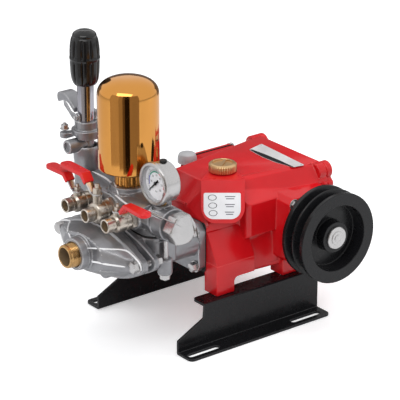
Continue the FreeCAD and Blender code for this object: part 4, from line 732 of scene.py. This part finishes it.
def cover_ridges():
    """Thin cast ridges that run over the suction cover from its boss to its ears."""
    upper = ((22, 184), (34, 186.5), (48, 188.5), (62, 189.5), (74, 189), (84, 187), (92, 184.5), (99, 182.2),
             (105, 180), (109.5, 176.5), (112.3, 172), (112.8, 167))
    lower = ((12, 161.5), (26, 163.5), (42, 165.3), (58, 166.8), (72, 167.8), (84, 168.4), (89, 168.6))
    in_front = -400 * MM
    paths = [[Vector((in_front, side * y * MM, z * MM)) for y, z in path]
             for side in (NEAR, FAR) for path in (upper, lower)]
    thin_ridges("cover_ridges", "suction_cover", Vector(BEHIND), paths, 1.5 * MM, -0.5 * MM)


def manifold_ridges():
    """The cast ridges on the discharge manifold's deck, which fork behind the middle valve."""
    rear = ((-160.5, 92), (-160.5, 78), (-160.5, 64), (-161.5, 50), (-165, 34), (-171.5, 16.5))
    front = ((-185, 2), (-185.4, -10.6), (-186.5, -30), (-187.5, -50), (-188, -70), (-188, -95), (-187, -118),
             (-185.3, -138))
    fork = ((-171.5, 16.5), (-176, 8), (-180, -2), (-184, -12))
    above = 300 * MM
    paths = [[Vector((x * MM, y * MM, above)) for x, y in path] for path in (rear, front, fork)]
    thin_ridges("manifold_ridges", "discharge_manifold", Vector(DOWN), paths, 1.8 * MM, 0.3 * MM)


def eased(shape, width):
    """Rounds a shape's sharp edges."""
    bmesh.ops.recalc_face_normals(shape, faces=shape.faces)
    sharp = [edge for edge in shape.edges if edge.calc_face_angle(0) > 0.5]
    bmesh.ops.bevel(shape, geom=sharp, offset=width, offset_type="OFFSET", affect="EDGES", segments=3,
                    profile=0.5, material=-1)
    return shape


def front_legs():
    """The crankcase's sides swell down to its front legs, and a low wall runs back from each leg."""
    front, leg_rear, wall_rear = CASE_FRONT - 0.3, -18.7, 23
    foot, wall_foot, wall_top, inner = foot_of("crankcase") + 0.1, 98, 125, 66.4
    outline = [(front, foot), (leg_rear, foot), (leg_rear, wall_foot), (wall_rear, wall_foot),
               (wall_rear, wall_top), (front, wall_top)]
    slope = [(inner, 121), (99.2, 122.5), (99.2, 126), (73.4, 176), (inner, 176)]
    wall_thick, arch, swell_length, ease = 33, 8, 77.5, 1.5
    legs = Piece()
    for side in (NEAR, FAR):
        wall = plate([(x, -side * z) for x, z in outline], wall_thick, (0, 0, arch, 0, 0, 0))
        legs.add(eased(wall, ease), (0, inner * side, 0), (0, side, 0), BEHIND)
        swell = plate([(y, side * z) for y, z in slope], swell_length)
        legs.add(eased(swell, ease), (CASE_FRONT + 0.3, 0, 0), BEHIND, (0, side, 0))
    legs.made("crankcase_front_legs", "red_paint")


# Bolts, studs and nuts
def suction_cover_bolts():
    """A through bolt at either ear, with its head in front and its nut behind."""
    ear_y, ear_z, front, face, rear = 101.5, 170, -214, -189.5, -180
    bolts = Piece()
    for side in (NEAR, FAR):
        bolts.screw((front, ear_y * side, ear_z), AHEAD, 17, 9.5, 11.2, side=(0, 0.4, 1))
        bolts.add(threaded(5, 12, 1.5, 0.6), (face, ear_y * side, ear_z), AHEAD)
        bolts.screw((rear, ear_y * side, ear_z), BEHIND, 16, 8, 10, 3, side=(0, 0.2, 1))
    bolts.made("suction_cover_bolts", "steel")


def block_bolts():
    """Four bolts that hold the cylinder block's flange to the crankcase."""
    flange_x, flange_y = CASE_FRONT - 14, 61
    bolts = Piece()
    for side in (NEAR, FAR):
        for z in (117.5, 175):
            bolts.screw((flange_x, flange_y * side, z), AHEAD, 14, 8.5, 10, side=(0, 0.3, 1))
    bolts.made("block_bolts", "steel")


def stud_nuts():
    """Nuts below and above the ears that the two head studs hold together."""
    stud_y, bottom, top = middle_of("head_stud_far").y, 140, 222
    nuts = Piece()
    for side in (NEAR, FAR):
        nuts.screw((HEAD_X, stud_y * side, bottom), DOWN, 15, 8, 11, 2.5)
        nuts.screw((HEAD_X, stud_y * side, top), UP, 15, 8, 11, 4)
        nuts.add(threaded(5.2, 12, 1.5, 0.6), (HEAD_X, stud_y * side, foot_of("head_stud_far")))
    nuts.made("stud_nuts", "steel")


def housing_bolts():
    """Four bolts round either bearing of the crank."""
    reach, below, above = 41, 47, 49
    near_face, far_face = corners_of("crankcase")[0].y, corners_of("far_bearing_cover")[1].y
    bolts = Piece()
    for x in (CRANK_AT.x - reach, CRANK_AT.x + reach):
        for z in (CRANK_AT.z - below, CRANK_AT.z + above):
            bolts.screw((x, near_face, z), (0, NEAR, 0), 13, 5, 9)
            bolts.screw((x, far_face, z), (0, FAR, 0), 13, 4.8, 9)
    bolts.made("housing_bolts", "steel")


def rear_cover_bolts():
    """Six bolts round the rear cover's rim."""
    rim_x = corners_of("rear_cover")[0].x + 12
    bolts = Piece()
    for side in (NEAR, FAR):
        for y, z in ((82, 231), (90, 108), (92, 165)):
            bolts.screw((rim_x, y * side, z), BEHIND, 12, 5, 8.5)
    bolts.made("rear_cover_bolts", "steel")


def foot_bolts():
    """Nuts under the rails, where the crankcase's feet are bolted down."""
    rail_under, foot_y = corners_of("rail_near")[1].z - 4, 91
    nuts = Piece()
    for x in (-37, 100):
        for side in (NEAR, FAR):
            nuts.screw((x, foot_y * side, rail_under), DOWN, 17, 8, 12, 3)
    nuts.made("foot_bolts", "steel")


def bonnet_bolts():
    """Two nuts on the ears of the regulator's bonnet."""
    ear_z, reach, turn = 322, 34.5, math.radians(-29.5)
    nuts = Piece()
    for side in (NEAR, FAR):
        ear = Vector((math.cos(turn), math.sin(turn), 0)) * reach * side
        nuts.screw(Vector((HEAD_X, REGULATOR_Y, ear_z)) + ear, UP, 11, 6, 7.5, 3)
    nuts.made("bonnet_bolts", "steel")


def pulley_bolt():
    """The low head and washer at the crank's end."""
    end = Vector((CRANK_AT.x, corners_of("pulley_washer")[0].y, CRANK_AT.z))
    bolt = Piece()
    bolt.add(washer(11.5, 4, 1.0), end, (0, NEAR, 0))
    bolt.add(hexagon(12, 1.9), end, (0, NEAR, 0), (0.3, 0, 1))
    bolt.made("pulley_bolt", "steel", "crank")


def block_gasket():
    """The edge of the gasket that shows between the cylinder block and the crankcase."""
    half_width, low, high, thick, corner = 71, 105.5, 190.5, 1.2, 7
    edge = plate(rectangle(half_width, low, high), thick, (corner,) * 4)
    Piece().add(edge, (CASE_FRONT - 1.3, 0, 0), BEHIND, (0, 1, 0)).made("block_gasket_line", "gasket")


air_chamber()
inlet_nipple()
for valve, flats in (("near", 28.5), ("middle", 33.5), ("far", 28.5)):
    ball_valve(valve, flats)
    valve_nut(valve)
oil_cap()
regulator_body()
regulator_tube()
regulator_knob()
relief_lever()
gauge()
name_plate()
tag_print()
cover_ridges()
manifold_ridges()
front_legs()
suction_cover_bolts()
block_bolts()
stud_nuts()
housing_bolts()
rear_cover_bolts()
foot_bolts()
bonnet_bolts()
pulley_bolt()
block_gasket()


# Studio: pale floor, world, lamps, reflection cards and the camera
def studio_world():
    """White where it is seen straight, in a mirror or through glass, and a cool fill light elsewhere."""
    world = bpy.data.worlds.new("studio")
    bpy.context.scene.world = world
    world.use_nodes = True
    tree = world.node_tree
    path = tree.nodes.new("ShaderNodeLightPath")
    seen = tree.nodes.new("ShaderNodeBackground")
    seen.inputs["Color"].default_value = (1, 1, 1, 1)
    seen.inputs["Strength"].default_value = 1.0
    fill = tree.nodes["Background"]
    fill.inputs["Color"].default_value = (0.95, 0.97, 1.0, 1)
    fill.inputs["Strength"].default_value = 0.55
    also = tree.nodes.new("ShaderNodeMath")
    direct = tree.nodes.new("ShaderNodeMath")
    also.operation = direct.operation = "ADD"
    direct.use_clamp = True
    mix = tree.nodes.new("ShaderNodeMixShader")
    join = tree.links.new
    join(path.outputs["Is Camera Ray"], also.inputs[0])
    join(path.outputs["Is Glossy Ray"], also.inputs[1])
    join(also.outputs[0], direct.inputs[0])
    join(path.outputs["Is Transmission Ray"], direct.inputs[1])
    join(direct.outputs[0], mix.inputs["Fac"])
    join(fill.outputs[0], mix.inputs[1])
    join(seen.outputs[0], mix.inputs[2])
    join(mix.outputs[0], tree.nodes["World Output"].inputs["Surface"])


def soft_lamp(name, at, aim, size, power, glossy=False):
    """A large area lamp, which shows in mirrors only where it is glossy."""
    lamp = bpy.data.lights.new(name, "AREA")
    lamp.shape = "RECTANGLE"
    lamp.size, lamp.size_y = size
    lamp.energy = power
    item = bpy.data.objects.new(name, lamp)
    item.location = at
    item.rotation_euler = (Vector(aim) - Vector(at)).to_track_quat("-Z", "Y").to_euler()
    item.visible_glossy = glossy
    bpy.context.scene.collection.objects.link(item)


def studio_floor():
    """A pale floor that keeps the pump's shadow and glows a little towards the camera."""
    below = 0.5 * MM
    shape = bmesh.new()
    bmesh.ops.create_grid(shape, x_segments=4, y_segments=4, size=30)
    bmesh.ops.translate(shape, verts=shape.verts, vec=(0, 0, -below))
    mesh = bpy.data.meshes.new("floor")
    shape.to_mesh(mesh)
    shape.free()
    floor = bpy.data.objects.new("floor", mesh)
    bpy.context.scene.collection.objects.link(floor)
    f = Finish("studio_floor")
    f.set(Base_Color=f.ramp(f.noise(3), (0.90, 0.90, 0.90), (0.93, 0.93, 0.93)), Roughness=0.5)
    path = f.node("ShaderNodeLightPath")
    glow = f.node("ShaderNodeMath", {0: path.outputs["Is Camera Ray"], 1: 0.35}, operation="MULTIPLY")
    f.set(Emission_Color=(1, 1, 1, 1), Emission_Strength=glow.outputs[0])
    mesh.materials.append(f.material)


def reflection_card(name, start, end, distance, height, tone, low=0.0):
    """A studio card that stands round the pump and shows only in its reflections.

    Its ends are angles seen from the air chamber, from the camera's side towards the picture's right.
    """
    shape = bmesh.new()
    camera_side = 234.2
    first = math.radians(camera_side + start)
    points = [shape.verts.new((distance * math.cos(first), distance * math.sin(first), z))
              for z in (low, height)]
    line = shape.edges.new(points)
    bmesh.ops.spin(shape, geom=points + [line], cent=(0, 0, 0), axis=(0, 0, 1),
                   angle=math.radians(end - start), steps=max(2, int(abs(end - start) / 4)))
    bmesh.ops.translate(shape, verts=shape.verts, vec=(HEAD_X * MM, 0, 0))
    mesh = bpy.data.meshes.new(name)
    shape.to_mesh(mesh)
    shape.free()
    card = bpy.data.objects.new(name, mesh)
    bpy.context.scene.collection.objects.link(card)
    f = Finish(name)
    f.set(Base_Color=(0, 0, 0, 1), Roughness=1.0, Specular_IOR_Level=0.0)
    f.set(Emission_Color=f.ramp(f.noise(6), shade(tone, 0.9), tone), Emission_Strength=1.0)
    mesh.materials.append(f.material)
    card.visible_camera = card.visible_diffuse = card.visible_transmission = False
    card.visible_shadow = card.visible_volume_scatter = False


def camera():
    """The camera, as it was found from the rails, the pulley and the air chamber in the photograph."""
    lens = bpy.data.cameras.new("camera")
    lens.lens = 198.27
    lens.sensor_width = 36
    lens.clip_end = 100
    item = bpy.data.objects.new("camera", lens)
    right = Vector((0.79, -0.6131, 0)).normalized()
    back = Vector((-0.5687, -0.7328, 0.3736)).normalized()
    up = back.cross(right).normalized()
    turn = Matrix((right, up, back)).transposed().to_4x4()
    stand = (-2.0498, -2.6253, 1.5372)
    item.matrix_world = Matrix.Translation(stand) @ turn
    bpy.context.scene.collection.objects.link(item)
    bpy.context.scene.camera = item


studio_world()
studio_floor()
camera()
reflection_card("black_card", -12, 5, distance=0.62, height=0.9, tone=(0.02, 0.015, 0.012))
reflection_card("left_dusk_card", -20, -12, distance=0.62, height=0.9, tone=(0.16, 0.13, 0.11))
reflection_card("left_shade_card", -34, -20, distance=0.66, height=0.9, tone=(0.42, 0.38, 0.34))
reflection_card("left_tone_card", -67, -34, distance=0.70, height=0.9, tone=(0.60, 0.56, 0.52))
reflection_card("right_shade_card", 5, 39, distance=0.66, height=0.9, tone=(0.40, 0.36, 0.33))
reflection_card("rear_card", 130, 230, distance=0.75, height=0.62, tone=(0.20, 0.19, 0.19), low=0.22)
soft_lamp("key_lamp", at=(-1.9, -1.3, 2.3), aim=(0, 0, 0.15), size=(2.6, 2.2), power=46, glossy=True)
soft_lamp("top_lamp", at=(0.4, 0.3, 2.4), aim=(0, 0, 0.15), size=(1.8, 1.8), power=22)
soft_lamp("side_lamp", at=(1.9, -1.5, 1.2), aim=(0, 0, 0.2), size=(1.0, 1.6), power=14)
bpy.context.scene.view_settings.view_transform = "Standard"
